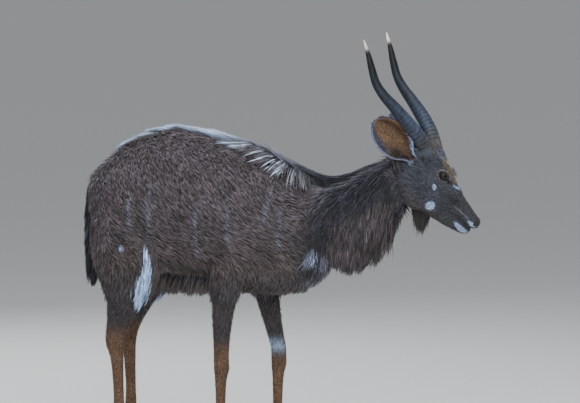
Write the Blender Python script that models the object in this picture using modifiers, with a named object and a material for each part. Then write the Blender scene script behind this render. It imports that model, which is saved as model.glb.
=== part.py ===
"""A nyala bull, life size and still: it stands with its neck low and browses, its head level with its back.

Metres, +Z up. The nose points along +X and +Y is the bull's left. The hooves stand on z = 0. Lofts along the
spine, the neck, the head and the legs are fused into one skin. Flat, tapered locks are the long hair. Thin cuts
part the skin where a person would name its parts. The surface is the outside of the short coat.
"""

import math
import random

import bmesh
import bpy
import numpy as np
from mathutils import Matrix, Vector
from mathutils.bvhtree import BVHTree

# The gap that two touching pieces keep.
GAP = 0.0003
# The plane where the neck leaves the trunk, and the one where the head leaves the neck.
NECK_CUT = Vector((0.385, 0.0, 0.85))
NECK_CUT_NORMAL = Vector((0.96, 0.0, 0.28)).normalized()
HEAD_CUT = Vector((0.697, 0.0, 1.0))
HEAD_CUT_NORMAL = Vector((0.984, 0.0, 0.179)).normalized()
# The rump ends here, and the tail hangs behind it.
TAIL_CUT_X = -0.421
HOOF_TOP = 0.060
FORE_CUT_Z = 0.655
# The legs are parted from the belly this far out from the middle.
LEG_INNER = 0.034
LEG_ROOM = 0.5
# The head's own frame: forward along the muzzle, left, and up out of the forehead.
HEAD_ORIGIN = Vector((0.70, 0.0, 1.03))
HEAD_PITCH = math.radians(44)
HEAD_YAW = math.radians(4)
HEAD_ROLL = math.radians(5)
EYE_RADIUS = 0.0155
EYE_PLACE = (0.1080, 0.0390, 0.0960)
HORN_BASE_RADIUS = 0.0230
EAR_LENGTH = 0.184
EAR_WIDTH = 0.115
EAR_THICKNESS = 0.0035
TRUNK_SIDES = 32
LEG_SIDES = 16
HEAD_SIDES = 24
HORN_SIDES = 10
# How far a lock's root is sunk into the body, and the shape of a lock along its length.
LOCK_SINK = 0.014
LOCK_STEPS = (0.0, 0.36, 0.74)
LOCK_WIDTHS = (0.85, 1.00, 0.66)
SEED = 7


def clear_scene():
    for obj in list(bpy.data.objects):
        bpy.data.objects.remove(obj)


def collection(name):
    made = bpy.data.collections.new(name)
    bpy.context.scene.collection.children.link(made)
    return made


def material(name, colour, roughness):
    made = bpy.data.materials.new(name)
    made.use_nodes = True
    shader = made.node_tree.nodes["Principled BSDF"]
    shader.inputs["Base Color"].default_value = (*colour, 1.0)
    shader.inputs["Roughness"].default_value = roughness
    return made


# Curves and lofts
def through(rows, steps):
    """Rows of numbers joined by a smooth curve, with this many steps between each two."""
    rows = np.array(rows, float)
    padded = np.vstack([2 * rows[0] - rows[1], rows, 2 * rows[-1] - rows[-2]])
    found = []
    for i in range(1, len(padded) - 2):
        a, b, c, d = padded[i - 1 : i + 3]
        for k in range(steps):
            t = k / steps
            bend = 2 * a - 5 * b + 4 * c - d
            found.append(0.5 * (2 * b + (c - a) * t + bend * t**2 + (3 * b - a - 3 * c + d) * t**3))
    return np.array(found + [rows[-1]])


def power(value, exponent):
    return math.copysign(abs(value) ** exponent, value)


def section(centre, across, upward, half_width, rise, drop, top=2.0, bottom=2.0, sides=TRUNK_SIDES):
    """An egg-shaped ring. Its exponents make the top and the bottom sharper below 2 and squarer above it."""
    points = []
    for k in range(sides):
        angle = 2 * math.pi * k / sides
        high = math.sin(angle) >= 0
        shape = 2 / (top if high else bottom)
        height = (rise if high else drop) * power(math.sin(angle), shape)
        points.append(centre + across * half_width * power(math.cos(angle), shape) + upward * height)
    return points


def from_bmesh(name, mesh):
    data = bpy.data.meshes.new(name)
    mesh.to_mesh(data)
    mesh.free()
    obj = bpy.data.objects.new(name, data)
    WORKSHOP.objects.link(obj)
    return obj


def loft(name, rings):
    """A closed skin through rings of equal length."""
    mesh = bmesh.new()
    rows = [[mesh.verts.new(point) for point in ring] for ring in rings]
    for low, high in zip(rows, rows[1:]):
        for k in range(len(low)):
            mesh.faces.new((low[k], low[k - 1], high[k - 1], high[k]))
    mesh.faces.new(rows[0])
    mesh.faces.new(list(reversed(rows[-1])))
    bmesh.ops.recalc_face_normals(mesh, faces=mesh.faces)
    return from_bmesh(name, mesh)


def spine_rings(path, steps, level=False, **shape):
    """Rings along a path of (x, z, half width, rise, drop) in the middle plane. Level rings stay upright."""
    rows = through(path, steps)
    rings = []
    for i, row in enumerate(rows):
        ahead = rows[min(i + 1, len(rows) - 1)] - rows[max(i - 1, 0)]
        tangent = Vector((1, 0, 0)) if level else Vector((ahead[0], 0, ahead[1])).normalized()
        across = Vector((0, 1, 0))
        rings.append(section(Vector((row[0], 0, row[1])), across, tangent.cross(across), *row[2:5], **shape))
    return rings


def ellipsoid(name, centre, radii, turn=None, segments=20, rings=12):
    mesh = bmesh.new()
    spin = turn.to_4x4() if turn else Matrix.Identity(4)
    place = Matrix.Translation(centre) @ spin @ Matrix.Diagonal((*radii, 1))
    bmesh.ops.create_uvsphere(mesh, u_segments=segments, v_segments=rings, radius=1, matrix=place)
    return from_bmesh(name, mesh)


def cone(name, start, direction, length, radius, end_radius, segments=18):
    mesh = bmesh.new()
    turn = direction.to_track_quat("Z", "Y").to_matrix().to_4x4()
    place = Matrix.Translation(start + direction * length / 2) @ turn
    bmesh.ops.create_cone(
        mesh, cap_ends=True, segments=segments, radius1=radius, radius2=end_radius, depth=length, matrix=place
    )
    return from_bmesh(name, mesh)


def block(name, low, high):
    mesh = bmesh.new()
    middle = (Vector(low) + Vector(high)) / 2
    size = Vector(high) - Vector(low)
    bmesh.ops.create_cube(mesh, size=1, matrix=Matrix.Translation(middle) @ Matrix.Diagonal((*size, 1)))
    return from_bmesh(name, mesh)


def prism(name, outline, low_y, high_y):
    """A block whose outline is drawn in the X-Z plane."""
    mesh = bmesh.new()
    face = mesh.faces.new([mesh.verts.new((x, low_y, z)) for x, z in outline])
    made = bmesh.ops.extrude_face_region(mesh, geom=[face])["geom"]
    moved = [v for v in made if isinstance(v, bmesh.types.BMVert)]
    bmesh.ops.translate(mesh, vec=(0, high_y - low_y, 0), verts=moved)
    bmesh.ops.recalc_face_normals(mesh, faces=mesh.faces)
    return from_bmesh(name, mesh)


def beyond(name, point, normal, size=2.5):
    """A big block that fills the space on the far side of a plane."""
    mesh = bmesh.new()
    turn = normal.to_track_quat("Z", "Y").to_matrix().to_4x4()
    lift = Matrix.Translation((0, 0, size / 2))
    bmesh.ops.create_cube(mesh, size=size, matrix=Matrix.Translation(point) @ turn @ lift)
    return from_bmesh(name, mesh)


# Joining and cutting
def baked(obj):
    """The object with its modifiers applied."""
    bpy.context.view_layer.update()
    graph = bpy.context.evaluated_depsgraph_get()
    data = bpy.data.meshes.new_from_object(obj.evaluated_get(graph))
    obj.modifiers.clear()
    obj.data = data
    return obj


def copy_of(obj, name):
    made = obj.copy()
    made.data = obj.data.copy()
    made.name = name
    WORKSHOP.objects.link(made)
    return made


def joined(name, pieces):
    """One object that holds all the pieces' meshes, still separate bodies."""
    mesh = bmesh.new()
    for piece in pieces:
        mesh.from_mesh(piece.data)
        bpy.data.objects.remove(piece)
    return from_bmesh(name, mesh)


def fused(name, pieces, voxel, smoothing, soft_from=-1.0):
    """One skin over overlapping pieces, with the creases between them softened above a height."""
    obj = joined(name, pieces)
    remesh = obj.modifiers.new("Skin", "REMESH")
    remesh.mode = "VOXEL"
    remesh.voxel_size = voxel
    baked(obj)
    group = obj.vertex_groups.new(name="soft")
    fade = 0.12
    for vertex in obj.data.vertices:
        group.add([vertex.index], min(1.0, max(0.0, (vertex.co.z - soft_from) / fade)), "REPLACE")
    smooth = obj.modifiers.new("Soften", "SMOOTH")
    smooth.factor = 0.5
    smooth.iterations = smoothing
    smooth.vertex_group = "soft"
    baked(obj)
    obj.vertex_groups.clear()
    return obj


def thinned(obj, triangles):
    obj.data.calc_loop_triangles()
    decimate = obj.modifiers.new("Thin", "DECIMATE")
    decimate.ratio = triangles / len(obj.data.loop_triangles)
    return baked(obj)


def boolean(obj, others, operation, solver="EXACT"):
    """A Boolean with all the others at once, applied, and the others removed."""
    group = bpy.data.collections.new("operands")
    bpy.context.scene.collection.children.link(group)
    for other in others:
        WORKSHOP.objects.unlink(other)
        group.objects.link(other)
    modifier = obj.modifiers.new(operation.title(), "BOOLEAN")
    modifier.operation = operation
    modifier.solver = solver
    modifier.operand_type = "COLLECTION"
    modifier.collection = group
    baked(obj)
    for other in others:
        bpy.data.objects.remove(other)
    bpy.data.collections.remove(group)
    return obj


def connected(mesh):
    """The mesh's faces in groups that share edges."""
    left = set(mesh.faces)
    shells = []
    while left:
        shell, edge = set(), [left.pop()]
        while edge:
            face = edge.pop()
            shell.add(face)
            near = {other for side in face.edges for other in side.link_faces} & left
            left -= near
            edge.extend(near)
        shells.append(shell)
    return shells


def keep_largest(obj):
    """Keeps only the closed surface that holds the most."""
    mesh = bmesh.new()
    mesh.from_mesh(obj.data)
    bmesh.ops.triangulate(mesh, faces=mesh.faces)
    shells = connected(mesh)
    shells.sort(key=lambda shell: sum(f.verts[0].co.dot(f.verts[1].co.cross(f.verts[2].co)) for f in shell))
    loose = [face for shell in shells[:-1] for face in shell]
    bmesh.ops.delete(mesh, geom=loose, context="FACES")
    mesh.to_mesh(obj.data)
    mesh.free()
    return obj


def node(obj, name, finish):
    """Names a finished solid, gives it its material and puts it with the model."""
    keep_largest(obj)
    obj.name = name
    obj.data.name = name
    obj.data.materials.clear()
    obj.data.materials.append(finish)
    obj.data.shade_smooth()
    obj.data.set_sharp_from_angle(angle=math.radians(50))
    WORKSHOP.objects.unlink(obj)
    MODEL.objects.link(obj)
    return obj


# The body's lofts: (x, z, half width, rise, drop)
TRUNK = (
    (-0.428, 0.950, 0.040, 0.035, 0.060),
    (-0.414, 0.940, 0.085, 0.075, 0.130),
    (-0.385, 0.925, 0.125, 0.115, 0.190),
    (-0.330, 0.915, 0.155, 0.172, 0.225),
    (-0.250, 0.910, 0.172, 0.218, 0.235),
    (-0.140, 0.905, 0.183, 0.250, 0.250),
    (-0.020, 0.895, 0.190, 0.250, 0.245),
    (0.090, 0.880, 0.185, 0.228, 0.240),
    (0.190, 0.865, 0.168, 0.205, 0.240),
    (0.280, 0.850, 0.145, 0.170, 0.230),
    (0.360, 0.830, 0.118, 0.150, 0.190),
    (0.415, 0.815, 0.085, 0.125, 0.130),
    (0.445, 0.805, 0.045, 0.070, 0.065),
)
NECK = (
    (0.200, 0.850, 0.150, 0.165, 0.180),
    (0.300, 0.850, 0.130, 0.145, 0.170),
    (0.380, 0.860, 0.112, 0.115, 0.140),
    (0.450, 0.878, 0.096, 0.098, 0.115),
    (0.520, 0.910, 0.084, 0.090, 0.100),
    (0.590, 0.950, 0.075, 0.083, 0.088),
    (0.650, 0.985, 0.067, 0.080, 0.080),
    (0.700, 1.012, 0.060, 0.072, 0.072),
    (0.740, 1.035, 0.050, 0.050, 0.055),
)
# The cores of the long hair, at most half way to its tips.
RUFF = (
    (0.440, 0.80, 0.078, 0.05, 0.055),
    (0.480, 0.81, 0.074, 0.05, 0.070),
    (0.530, 0.82, 0.066, 0.05, 0.072),
    (0.580, 0.84, 0.060, 0.05, 0.068),
    (0.625, 0.88, 0.052, 0.05, 0.062),
    (0.660, 0.92, 0.046, 0.04, 0.050),
    (0.690, 0.96, 0.038, 0.04, 0.030),
)
BELLY_FRINGE = (
    (-0.190, 0.69, 0.024, 0.03, 0.042),
    (-0.120, 0.68, 0.030, 0.03, 0.050),
    (0.000, 0.67, 0.030, 0.03, 0.048),
    (0.100, 0.66, 0.030, 0.03, 0.042),
    (0.200, 0.66, 0.032, 0.03, 0.042),
    (0.300, 0.65, 0.038, 0.03, 0.036),
    (0.370, 0.67, 0.040, 0.03, 0.032),
    (0.410, 0.71, 0.034, 0.03, 0.028),
)
CREST = (
    (-0.395, 1.020, 0.012, 0.012, 0.04),
    (-0.340, 1.075, 0.014, 0.020, 0.04),
    (-0.250, 1.120, 0.014, 0.018, 0.04),
    (-0.130, 1.150, 0.016, 0.018, 0.04),
    (-0.010, 1.135, 0.018, 0.019, 0.04),
    (0.100, 1.100, 0.020, 0.023, 0.04),
    (0.170, 1.075, 0.022, 0.028, 0.04),
    (0.250, 1.030, 0.022, 0.028, 0.04),
    (0.340, 0.985, 0.020, 0.020, 0.04),
    (0.430, 0.975, 0.018, 0.017, 0.04),
    (0.520, 1.005, 0.016, 0.015, 0.04),
    (0.600, 1.040, 0.014, 0.013, 0.04),
    (0.675, 1.070, 0.012, 0.011, 0.04),
)
# The heights that the tips of the long hair reach: along X, and its height there.
RUFF_TIPS = (
    (0.455, 0.485, 0.530, 0.580, 0.635, 0.674, 0.700),
    (0.680, 0.660, 0.650, 0.672, 0.720, 0.812, 0.895),
)
BELLY_TIPS = ((-0.18, -0.05, 0.05, 0.20, 0.30, 0.36, 0.41), (0.572, 0.572, 0.578, 0.585, 0.585, 0.595, 0.640))
CREST_TIPS = (
    (-0.41, -0.34, -0.23, -0.13, 0.0, 0.11, 0.20, 0.27, 0.33, 0.39, 0.435, 0.51, 0.60, 0.67),
    (1.028, 1.105, 1.162, 1.182, 1.168, 1.144, 1.120, 1.080, 1.050, 1.012, 1.004, 1.028, 1.064, 1.088),
)
# A leg runs down from its muscle mass: (x, z, half width, reach forwards, reach backwards).
FORE = (
    (0.175, 0.900, 0.040, 0.080, 0.080),
    (0.166, 0.800, 0.058, 0.108, 0.105),
    (0.118, 0.715, 0.055, 0.088, 0.082),
    (0.096, 0.640, 0.045, 0.062, 0.062),
    (0.085, 0.560, 0.036, 0.043, 0.045),
    (0.079, 0.470, 0.029, 0.032, 0.033),
    (0.076, 0.390, 0.0265, 0.029, 0.028),
    (0.076, 0.345, 0.0275, 0.030, 0.027),
    (0.074, 0.300, 0.021, 0.022, 0.022),
    (0.073, 0.200, 0.0180, 0.019, 0.019),
    (0.075, 0.130, 0.0215, 0.023, 0.025),
    (0.081, 0.104, 0.0225, 0.023, 0.025),
    (0.095, 0.075, 0.0210, 0.022, 0.022),
    (0.103, 0.045, 0.0225, 0.022, 0.022),
)
HIND = (
    (-0.285, 0.960, 0.050, 0.100, 0.085),
    (-0.280, 0.850, 0.074, 0.150, 0.120),
    (-0.270, 0.750, 0.072, 0.148, 0.130),
    (-0.262, 0.665, 0.062, 0.118, 0.115),
    (-0.270, 0.585, 0.048, 0.080, 0.077),
    (-0.290, 0.512, 0.036, 0.050, 0.050),
    (-0.305, 0.455, 0.030, 0.037, 0.040),
    (-0.308, 0.415, 0.027, 0.032, 0.036),
    (-0.303, 0.360, 0.0215, 0.025, 0.024),
    (-0.298, 0.240, 0.0185, 0.021, 0.020),
    (-0.296, 0.135, 0.0230, 0.024, 0.027),
    (-0.290, 0.106, 0.0235, 0.024, 0.026),
    (-0.275, 0.076, 0.0210, 0.022, 0.022),
    (-0.267, 0.045, 0.0225, 0.022, 0.022),
)
# How far out from the middle each height of a leg lies, from the ground up.
FORE_SPREAD = ((0.00, 0.50, 0.70, 0.90), (0.102, 0.106, 0.100, 0.078))
HIND_SPREAD = ((0.00, 0.50, 0.74, 0.96), (0.108, 0.112, 0.102, 0.082))
# Each leg: its rows, its spread, its side, and how far its foot is set forward of the first of its pair.
LEGS = {
    "fore_right": (FORE, FORE_SPREAD, -1, 0.0),
    "fore_left": (FORE, FORE_SPREAD, 1, 0.138),
    "hind_right": (HIND, HIND_SPREAD, -1, 0.0),
    "hind_left": (HIND, HIND_SPREAD, 1, -0.038),
}
SWING_FROM, SWING_TO = 0.90, 0.40


def leg_centre(name, x, z):
    """A point of a leg's axis, with the leg swung forwards or back from its shoulder or hip."""
    _, spread, side, swing = LEGS[name]
    share = min(1.0, max(0.0, (SWING_FROM - z) / (SWING_FROM - SWING_TO)))
    return Vector((x + swing * share, side * float(np.interp(z, *spread)), z))


def leg(name):
    rings = []
    for x, z, half, ahead, behind in through(LEGS[name][0], 3):
        across, forward = Vector((0, 1, 0)), Vector((1, 0, 0))
        rings.append(section(leg_centre(name, x, z), across, forward, half, ahead, behind, sides=LEG_SIDES))
    return loft(name, rings)


def dew_claws(name):
    """The two small claws behind the fetlock."""
    x, z, _, _, behind = LEGS[name][0][-4]
    made = []
    for across in (-0.012, 0.012):
        centre = leg_centre(name, x, z) + Vector((-behind - 0.001, across, -0.014))
        made.append(ellipsoid("dew_claw", centre, (0.008, 0.0075, 0.013), Matrix.Rotation(0.5, 3, "Y")))
    return made


# The head
def head_turn():
    """The rotation from the head's own frame to the world: turned a little left, with its right side low."""
    turn = Matrix.Rotation(HEAD_YAW, 3, "Z") @ Matrix.Rotation(HEAD_PITCH, 3, "Y")
    return turn @ Matrix.Rotation(HEAD_ROLL, 3, "X")


def head_place(f, s, u):
    """A point of the head's own frame: f along the muzzle, s to the bull's left, u out of the forehead."""
    return HEAD_ORIGIN + head_turn() @ Vector((f, s, u))


def head_loft(name, rows, **shape):
    """A loft along the muzzle from rows of (f, top, bottom, half width, height of the widest place)."""
    turn = head_turn()
    across, upward = turn @ Vector((0, 1, 0)), turn @ Vector((0, 0, 1))
    rings = []
    for f, top, bottom, half, wide in through(rows, 3):
        centre = head_place(f, 0, wide)
        rise, drop = top - wide, wide - bottom
        rings.append(section(centre, across, upward, half, rise, drop, sides=HEAD_SIDES, **shape))
    return loft(name, rings)


SKULL = (
    (-0.060, 0.045, -0.045, 0.040, 0.000),
    (-0.030, 0.078, -0.060, 0.054, 0.010),
    (0.010, 0.108, -0.065, 0.062, 0.028),
    (0.050, 0.124, -0.062, 0.063, 0.045),
    (0.090, 0.1245, -0.052, 0.061, 0.055),
    (0.120, 0.1150, -0.040, 0.055, 0.056),
    (0.155, 0.0990, -0.022, 0.045, 0.050),
    (0.190, 0.0870, -0.008, 0.038, 0.044),
    (0.225, 0.0785, 0.002, 0.033, 0.040),
    (0.258, 0.0720, 0.012, 0.031, 0.038),
    (0.283, 0.0660, 0.022, 0.029, 0.040),
    (0.300, 0.0600, 0.031, 0.023, 0.043),
    (0.308, 0.0510, 0.039, 0.012, 0.044),
)
JAW = (
    (0.010, 0.000, -0.068, 0.036, -0.035),
    (0.050, 0.010, -0.078, 0.048, -0.035),
    (0.085, 0.015, -0.076, 0.051, -0.032),
    (0.120, 0.015, -0.065, 0.046, -0.026),
    (0.160, 0.014, -0.051, 0.037, -0.018),
    (0.200, 0.014, -0.041, 0.029, -0.012),
    (0.235, 0.018, -0.031, 0.024, -0.004),
    (0.265, 0.022, -0.020, 0.021, 0.002),
    (0.285, 0.022, -0.011, 0.018, 0.006),
    (0.297, 0.018, -0.002, 0.010, 0.008),
)


def head_masses():
    """Cheeks, brows, lips and the nose pad."""
    turn = head_turn()
    made = [
        ellipsoid("nose_pad", head_place(0.289, 0, 0.052), (0.0165, 0.025, 0.016), turn),
        ellipsoid("chin", head_place(0.276, 0, 0.003), (0.021, 0.019, 0.014), turn),
    ]
    for side in (-1, 1):
        made += [
            ellipsoid("cheek", head_place(0.075, side * 0.034, -0.022), (0.066, 0.021, 0.048), turn),
            ellipsoid("brow", head_place(0.098, side * 0.032, 0.0975), (0.036, 0.018, 0.016), turn),
            ellipsoid("cheekbone", head_place(0.140, side * 0.037, 0.068), (0.062, 0.016, 0.022), turn),
            ellipsoid("upper_lip", head_place(0.270, side * 0.018, 0.038), (0.032, 0.015, 0.013), turn),
            ellipsoid("lower_lip", head_place(0.258, side * 0.013, 0.016), (0.030, 0.014, 0.010), turn),
        ]
    return made


def ring_tube(name, place, width, height, tube, steps=14, tube_steps=6):
    """A closed tube round an oval in the place's X-Z plane."""
    mesh = bmesh.new()
    rows = []
    for i in range(steps):
        a = 2 * math.pi * i / steps
        middle = Vector((width * math.cos(a), 0, height * math.sin(a)))
        out = Vector((math.cos(a), 0, math.sin(a)))
        row = []
        for j in range(tube_steps):
            b = 2 * math.pi * j / tube_steps
            offset = out * math.cos(b) + Vector((0, math.sin(b), 0))
            row.append(mesh.verts.new(place @ (middle + tube * offset)))
        rows.append(row)
    for i in range(steps):
        for j in range(tube_steps):
            mesh.faces.new((rows[i - 1][j - 1], rows[i - 1][j], rows[i][j], rows[i][j - 1]))
    bmesh.ops.recalc_face_normals(mesh, faces=mesh.faces)
    return from_bmesh(name, mesh)


def eye_lids(side):
    """The rim of skin round one eye."""
    f, s, u = EYE_PLACE
    place = Matrix.Translation(head_place(f, side * (s + 0.0090), u)) @ head_turn().to_4x4()
    return ring_tube("eye_lids", place, EYE_RADIUS * 1.02, EYE_RADIUS * 0.74, 0.0038)


MOUTH_LINE = ((0.218, 0.020), (0.236, 0.0270), (0.260, 0.0300), (0.285, 0.0280), (0.325, 0.0260))


def mouth_slit(side):
    """A thin blade that opens the line between the lips."""
    mesh = bmesh.new()
    inner, outer, half = 0.010, 0.060, 0.0013
    rows = []
    for i, (f, u) in enumerate(through(MOUTH_LINE, 2)):
        tall = half if i else half / 3
        corners = ((inner, -tall), (outer, -tall * 1.8), (outer, tall * 1.8), (inner, tall))
        rows.append([mesh.verts.new(head_place(f, side * reach, u + lift)) for reach, lift in corners])
    for low, high in zip(rows, rows[1:]):
        for k in range(4):
            mesh.faces.new((low[k - 1], low[k], high[k], high[k - 1]))
    mesh.faces.new(rows[0])
    mesh.faces.new(list(reversed(rows[-1])))
    bmesh.ops.recalc_face_normals(mesh, faces=mesh.faces)
    return from_bmesh("mouth_slit", mesh)


def nostril(side):
    turn = head_turn() @ Matrix.Rotation(side * math.radians(-30), 3, "Z")
    turn = turn @ Matrix.Rotation(math.radians(15), 3, "Y")
    return ellipsoid("nostril", head_place(0.2995, side * 0.0165, 0.055), (0.012, 0.0036, 0.0065), turn, 10, 6)


# The horns run back from behind the eyes in the head's own frame, spread like a lyre and turn up at the tips:
# (f, side, u, radius).
HORN = (
    (0.0500, 0.0310, 0.1010, 0.0232),
    (0.0166, 0.0449, 0.1166, 0.0230),
    (-0.0246, 0.0636, 0.1341, 0.0232),
    (-0.0681, 0.0824, 0.1469, 0.0232),
    (-0.1156, 0.0967, 0.1559, 0.0224),
    (-0.1645, 0.1086, 0.1631, 0.0198),
    (-0.2132, 0.1201, 0.1687, 0.0170),
    (-0.2599, 0.1276, 0.1816, 0.0144),
    (-0.3024, 0.1311, 0.2064, 0.0124),
    (-0.3451, 0.1342, 0.2345, 0.0085),
    (-0.3903, 0.1379, 0.2608, 0.0018),
)
HORN_FOOT = 1
HORN_FRONT = Vector((0.72, 0.0, 0.69))
KEEL_START, KEEL_TURN, KEEL_HEIGHT = math.radians(-20), math.radians(140), 0.17


def horn(side):
    """A horn whose keel starts at the front and winds outwards to the tip."""
    rows = through(HORN, 2)
    turn = head_turn()
    rings = []
    for i, row in enumerate(rows):
        ahead = rows[min(i + 1, len(rows) - 1)] - rows[max(i - 1, 0)]
        tangent = Vector((ahead[0], side * ahead[1], ahead[2])).normalized()
        forward = (HORN_FRONT - tangent * tangent.dot(HORN_FRONT)).normalized()
        outward = tangent.cross(forward) * side
        share = i / (len(rows) - 1)
        keel = KEEL_START + KEEL_TURN * share
        ring = []
        for k in range(HORN_SIDES):
            angle = 2 * math.pi * k / HORN_SIDES
            reach = row[3] * (1 + KEEL_HEIGHT * (1 - share) * max(0.0, math.cos(angle - keel)) ** 6)
            offset = (forward * math.cos(angle) + outward * math.sin(angle)) * reach
            ring.append(HEAD_ORIGIN + turn @ (Vector((row[0], side * row[1], row[2])) + offset))
        rings.append(ring)
    return loft("horn", rings)


def horn_foot(side):
    """Where a horn leaves the skull: a point, and the direction of the horn there."""
    low, high = HORN[HORN_FOOT], HORN[HORN_FOOT + 1]
    point = head_place(low[0], side * low[1], low[2])
    return point, (head_place(high[0], side * high[1], high[2]) - point).normalized()


def horn_seat(side):
    """The level end of the skin-covered stub that carries a horn."""
    point, direction = horn_foot(side)
    return cone("horn_seat", point - direction * 0.026, direction, 0.026, 0.0260, HORN_BASE_RADIUS + 0.0016, 12)


def stubs(side):
    """The skin that swells towards a horn and an ear, and that is softened with the rest of the head."""
    point, direction = horn_foot(side)
    root, length, _, _ = ear_frame(side)
    return [
        cone("horn_stub", point - direction * 0.052, direction, 0.046, 0.031, HORN_BASE_RADIUS + 0.003),
        cone("ear_stub", root - length * 0.055, length, 0.050, 0.036, 0.0235),
    ]


# Each ear points up, back and out from behind the horn, and its cup faces sideways.
EAR_ROOT = Vector((-0.004, 0.052, 0.063))
EAR_TIP = Vector((-0.181, 0.114, 0.084))
EAR_OPENING = Vector((0.05, 0.92, 0.35))
# How wide the ear is from its root to its tip: shares of its length and of its full width.
EAR_OUTLINE = (
    (0.00, 0.07, 0.14, 0.24, 0.33, 0.46, 0.56, 0.69, 0.77, 0.85, 0.92, 0.97, 1.00),
    (0.22, 0.28, 0.42, 0.69, 0.86, 0.98, 1.00, 0.92, 0.83, 0.68, 0.50, 0.30, 0.09),
)


def ear_frame(side):
    """The ear's root, its long axis, its width and the way that its cup opens."""
    mirror = head_turn() @ Matrix.Diagonal((1, side, 1))
    length = (mirror @ (EAR_TIP - EAR_ROOT)).normalized()
    opening = mirror @ EAR_OPENING
    opening = (opening - length * opening.dot(length)).normalized()
    return HEAD_ORIGIN + mirror @ EAR_ROOT, length, length.cross(opening), opening


def ear(side):
    """A thin cupped leaf on a short stem."""
    root, length, across, opening = ear_frame(side)
    long_steps, wide_steps, start = 7, 6, 0.020
    mesh = bmesh.new()
    rows = []
    for i in range(long_steps + 1):
        t = i / long_steps
        reach = start + t * (EAR_LENGTH - start)
        half = 0.5 * EAR_WIDTH * float(np.interp(reach / EAR_LENGTH, *EAR_OUTLINE))
        curl = math.radians(115 - 75 * t**0.7)
        row = []
        for j in range(wide_steps + 1):
            w = 2 * j / wide_steps - 1
            radius = half / math.sin(min(curl, math.pi / 2))
            sideways, depth = radius * math.sin(w * curl), radius * (1 - math.cos(w * curl))
            place = root + length * reach + across * sideways
            row.append(mesh.verts.new(place + opening * (depth - 0.5 * radius)))
        rows.append(row)
    for low, high in zip(rows, rows[1:]):
        for k in range(wide_steps):
            mesh.faces.new((low[k], low[k + 1], high[k + 1], high[k]))
    obj = from_bmesh("ear", mesh)
    wall = obj.modifiers.new("Wall", "SOLIDIFY")
    wall.thickness = EAR_THICKNESS
    wall.offset = 0
    baked(obj)
    boolean(obj, [cone("ear_stem", root - length * 0.01, length, 0.042, 0.020, 0.0165, 8)], "UNION")
    return boolean(obj, [beyond("ear_side", root + length * GAP, length, 0.5)], "INTERSECT")


def ear_seat(side):
    root, length, _, _ = ear_frame(side)
    return cone("ear_seat", root - length * 0.022, length, 0.022, 0.0235, 0.0205, 10)


# The tail hangs flat against the rump: (x, z, half width, reach backwards, reach forwards).
TAIL = (
    (-0.410, 1.004, 0.018, 0.014, 0.014),
    (-0.427, 0.990, 0.021, 0.015, 0.014),
    (-0.436, 0.950, 0.024, 0.014, 0.014),
    (-0.438, 0.880, 0.028, 0.013, 0.013),
    (-0.437, 0.800, 0.030, 0.013, 0.013),
    (-0.433, 0.720, 0.026, 0.012, 0.012),
    (-0.427, 0.660, 0.016, 0.009, 0.009),
    (-0.422, 0.630, 0.005, 0.004, 0.004),
)


def tail():
    rings = []
    across, backward = Vector((0, 1, 0)), Vector((-1, 0, 0))
    for x, z, half, behind, ahead in through(TAIL, 2):
        rings.append(section(Vector((x, 0, z)), across, backward, half, behind, ahead, sides=8))
    return loft("tail", rings)


def tail_stump():
    """The tail's root, which reaches the plane where the tail begins."""
    return ellipsoid("tail_stump", Vector((-0.405, 0, 0.975)), (0.030, 0.027, 0.034))


def hoof_claw(name, inner):
    """One claw of a cloven hoof, flat under its sole and cut level where it meets the leg."""
    rows, _, side, _ = LEGS[name]
    x = float(np.interp(HOOF_TOP, [rows[-1][1], rows[-2][1]], [rows[-1][0], rows[-2][0]]))
    centre = leg_centre(name, x, 0.0)
    half_gap, half_sole = 0.0012, 0.0135
    shift = (half_gap + half_sole) * (-side if inner else side)
    levels = (
        (0.0, 0.044, 0.034, half_sole - 0.0012),
        (0.003, 0.0455, 0.035, half_sole),
        (0.020, 0.040, 0.033, half_sole),
        (0.040, 0.031, 0.029, 0.0123),
        (HOOF_TOP - GAP, 0.0235, 0.0235, 0.0108),
    )
    rings = []
    for z, toe, heel, half in levels:
        forward = 0.010 * (1 - z / HOOF_TOP)
        place = centre + Vector((forward, shift * (0.80 + 0.20 * half / half_sole), z))
        rings.append(section(place, Vector((0, 1, 0)), Vector((1, 0, 0)), half, toe, heel, top=1.7, sides=10))
    return loft("hoof_claw", rings)


# Locks of long hair
def lock(path, across, width, thickness):
    """A flat, tapered blade along a path of points, widest near its root. It is closed and ends in a point."""
    mesh = bmesh.new()
    rows = []
    for i, share in enumerate(LOCK_STEPS):
        middle = path(share)
        tangent = (path(share + 0.02) - middle).normalized()
        side = (across - tangent * across.dot(tangent)).normalized()
        out = tangent.cross(side)
        wide, deep = side * width * LOCK_WIDTHS[i] / 2, out * thickness * LOCK_WIDTHS[i] / 2
        rows.append([mesh.verts.new(middle + step) for step in (wide, deep, -wide, -deep)])
    tip = mesh.verts.new(path(1.0))
    for low, high in zip(rows, rows[1:]):
        for k in range(4):
            mesh.faces.new((low[k - 1], low[k], high[k]))
            mesh.faces.new((low[k - 1], high[k], high[k - 1]))
    for k in range(4):
        mesh.faces.new((rows[-1][k - 1], rows[-1][k], tip))
    mesh.faces.new(rows[0])
    bmesh.ops.recalc_face_normals(mesh, faces=mesh.faces)
    return from_bmesh("lock", mesh)


def bent(root, out, tip, lift):
    """A path that leaves the skin along its normal, then bends over towards its tip."""
    start, middle = root - out * LOCK_SINK, root + out * lift + (tip - root) * 0.30

    def path(t):
        return start * (1 - t) ** 2 + middle * 2 * t * (1 - t) + tip * t**2

    return path


def skin_tree(obj):
    return BVHTree.FromPolygons([v.co for v in obj.data.vertices], [p.vertices for p in obj.data.polygons])


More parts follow.
